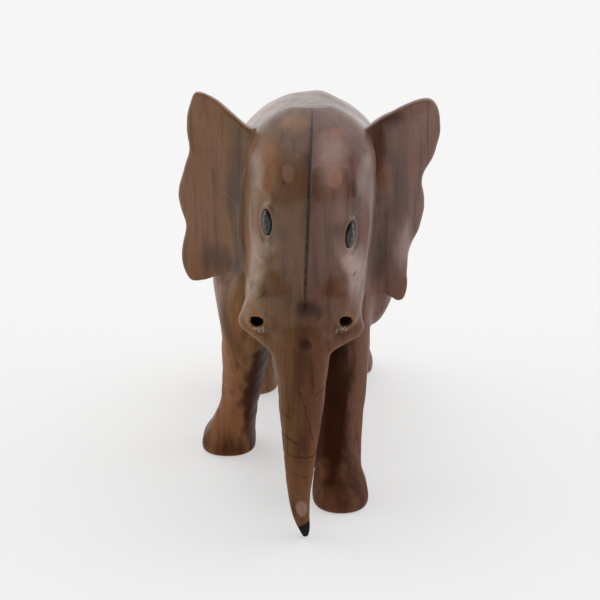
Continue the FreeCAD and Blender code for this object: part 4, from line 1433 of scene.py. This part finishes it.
def build_stage(settings):
    """Paper floor, camera, room and three soft suns."""
    scene = bpy.context.scene
    bpy.ops.mesh.primitive_grid_add(x_subdivisions=8, y_subdivisions=8, size=settings.floor_size)
    floor = bpy.context.active_object
    floor.name = "studio_floor"
    floor.data.materials.append(paper_material(tuple(settings.floor), settings.glow))
    set_camera(scene)
    scene.world = light_tent(settings)
    for name, way, softness, power in SUNS:
        sun = bpy.data.lights.new(name, "SUN")
        sun.angle, sun.energy = math.radians(softness), power
        lamp = bpy.data.objects.new(name, sun)
        scene.collection.objects.link(lamp)
        lamp.rotation_euler = Vector(way).to_track_quat("-Z", "Y").to_euler()


# ---------------------------------------------------------------- add-on
class OBJECT_OT_carve_body(bpy.types.Operator):
    """Carves body, head, trunk, ears, legs and tail as one piece of wood."""

    bl_idname = "elephant.carve_body"
    bl_label = "Carve body"

    def execute(self, context):
        build_carving(context.scene.elephant_carving, context.scene.elephant_wood)
        return {"FINISHED"}


class OBJECT_OT_inlay_eyes(bpy.types.Operator):
    """Sets the horn almonds and their beads in the head."""

    bl_idname = "elephant.inlay_eyes"
    bl_label = "Inlay eyes"

    def execute(self, context):
        horn, bead = horn_material(context.scene.elephant_inlays), bead_material()
        for side in (RIGHT, LEFT):
            build_eye(side, horn)
            build_pupil(side, bead)
        return {"FINISHED"}


class OBJECT_OT_leave_glue(bpy.types.Operator):
    """Leaves old glue in the tusk sockets and crumbs below them."""

    bl_idname = "elephant.leave_glue"
    bl_label = "Leave old glue"

    def execute(self, context):
        inlays = context.scene.elephant_inlays
        dress_glue(glue_material("old_glue", tuple(inlays.glue), (0.14, 0.10, 0.04)))
        build_crumbs(bpy.data.objects["carved_elephant"], inlays)
        return {"FINISHED"}


class SCENE_OT_set_stage(bpy.types.Operator):
    """Lays the paper floor and sets camera, room and soft light."""

    bl_idname = "elephant.set_stage"
    bl_label = "Set stage"

    def execute(self, context):
        build_stage(context.scene.elephant_stage)
        return {"FINISHED"}


class VIEW3D_PT_elephant(bpy.types.Panel):
    """Sizes, colours and steps of the carved elephant."""

    bl_label = "Carved elephant"
    bl_space_type = "VIEW_3D"
    bl_region_type = "UI"
    bl_category = "Carving"

    def draw(self, context):
        for name, operators in STEPS.items():
            settings = getattr(context.scene, name)
            for key in settings.__annotations__:
                self.layout.prop(settings, key)
            for operator in operators:
                self.layout.operator(operator)


STEPS = {
    "elephant_carving": ("elephant.carve_body",),
    "elephant_wood": (),
    "elephant_inlays": ("elephant.inlay_eyes", "elephant.leave_glue"),
    "elephant_stage": ("elephant.set_stage",),
}
GROUPS = {
    "elephant_carving": ElephantCarving,
    "elephant_wood": ElephantWood,
    "elephant_inlays": ElephantInlays,
    "elephant_stage": ElephantStage,
}
OPERATORS = (OBJECT_OT_carve_body, OBJECT_OT_inlay_eyes, OBJECT_OT_leave_glue, SCENE_OT_set_stage)


def register():
    for cls in (*GROUPS.values(), *OPERATORS, VIEW3D_PT_elephant):
        bpy.utils.register_class(cls)
    for name, group in GROUPS.items():
        setattr(bpy.types.Scene, name, PointerProperty(type=group))


def unregister():
    for name in GROUPS:
        delattr(bpy.types.Scene, name)
    for cls in (VIEW3D_PT_elephant, *reversed(OPERATORS), *reversed(GROUPS.values())):
        bpy.utils.unregister_class(cls)


def main():
    register()
    bpy.ops.elephant.carve_body()
    bpy.ops.elephant.inlay_eyes()
    bpy.ops.elephant.leave_glue()
    bpy.ops.elephant.set_stage()


if __name__ == "__main__":
    main()
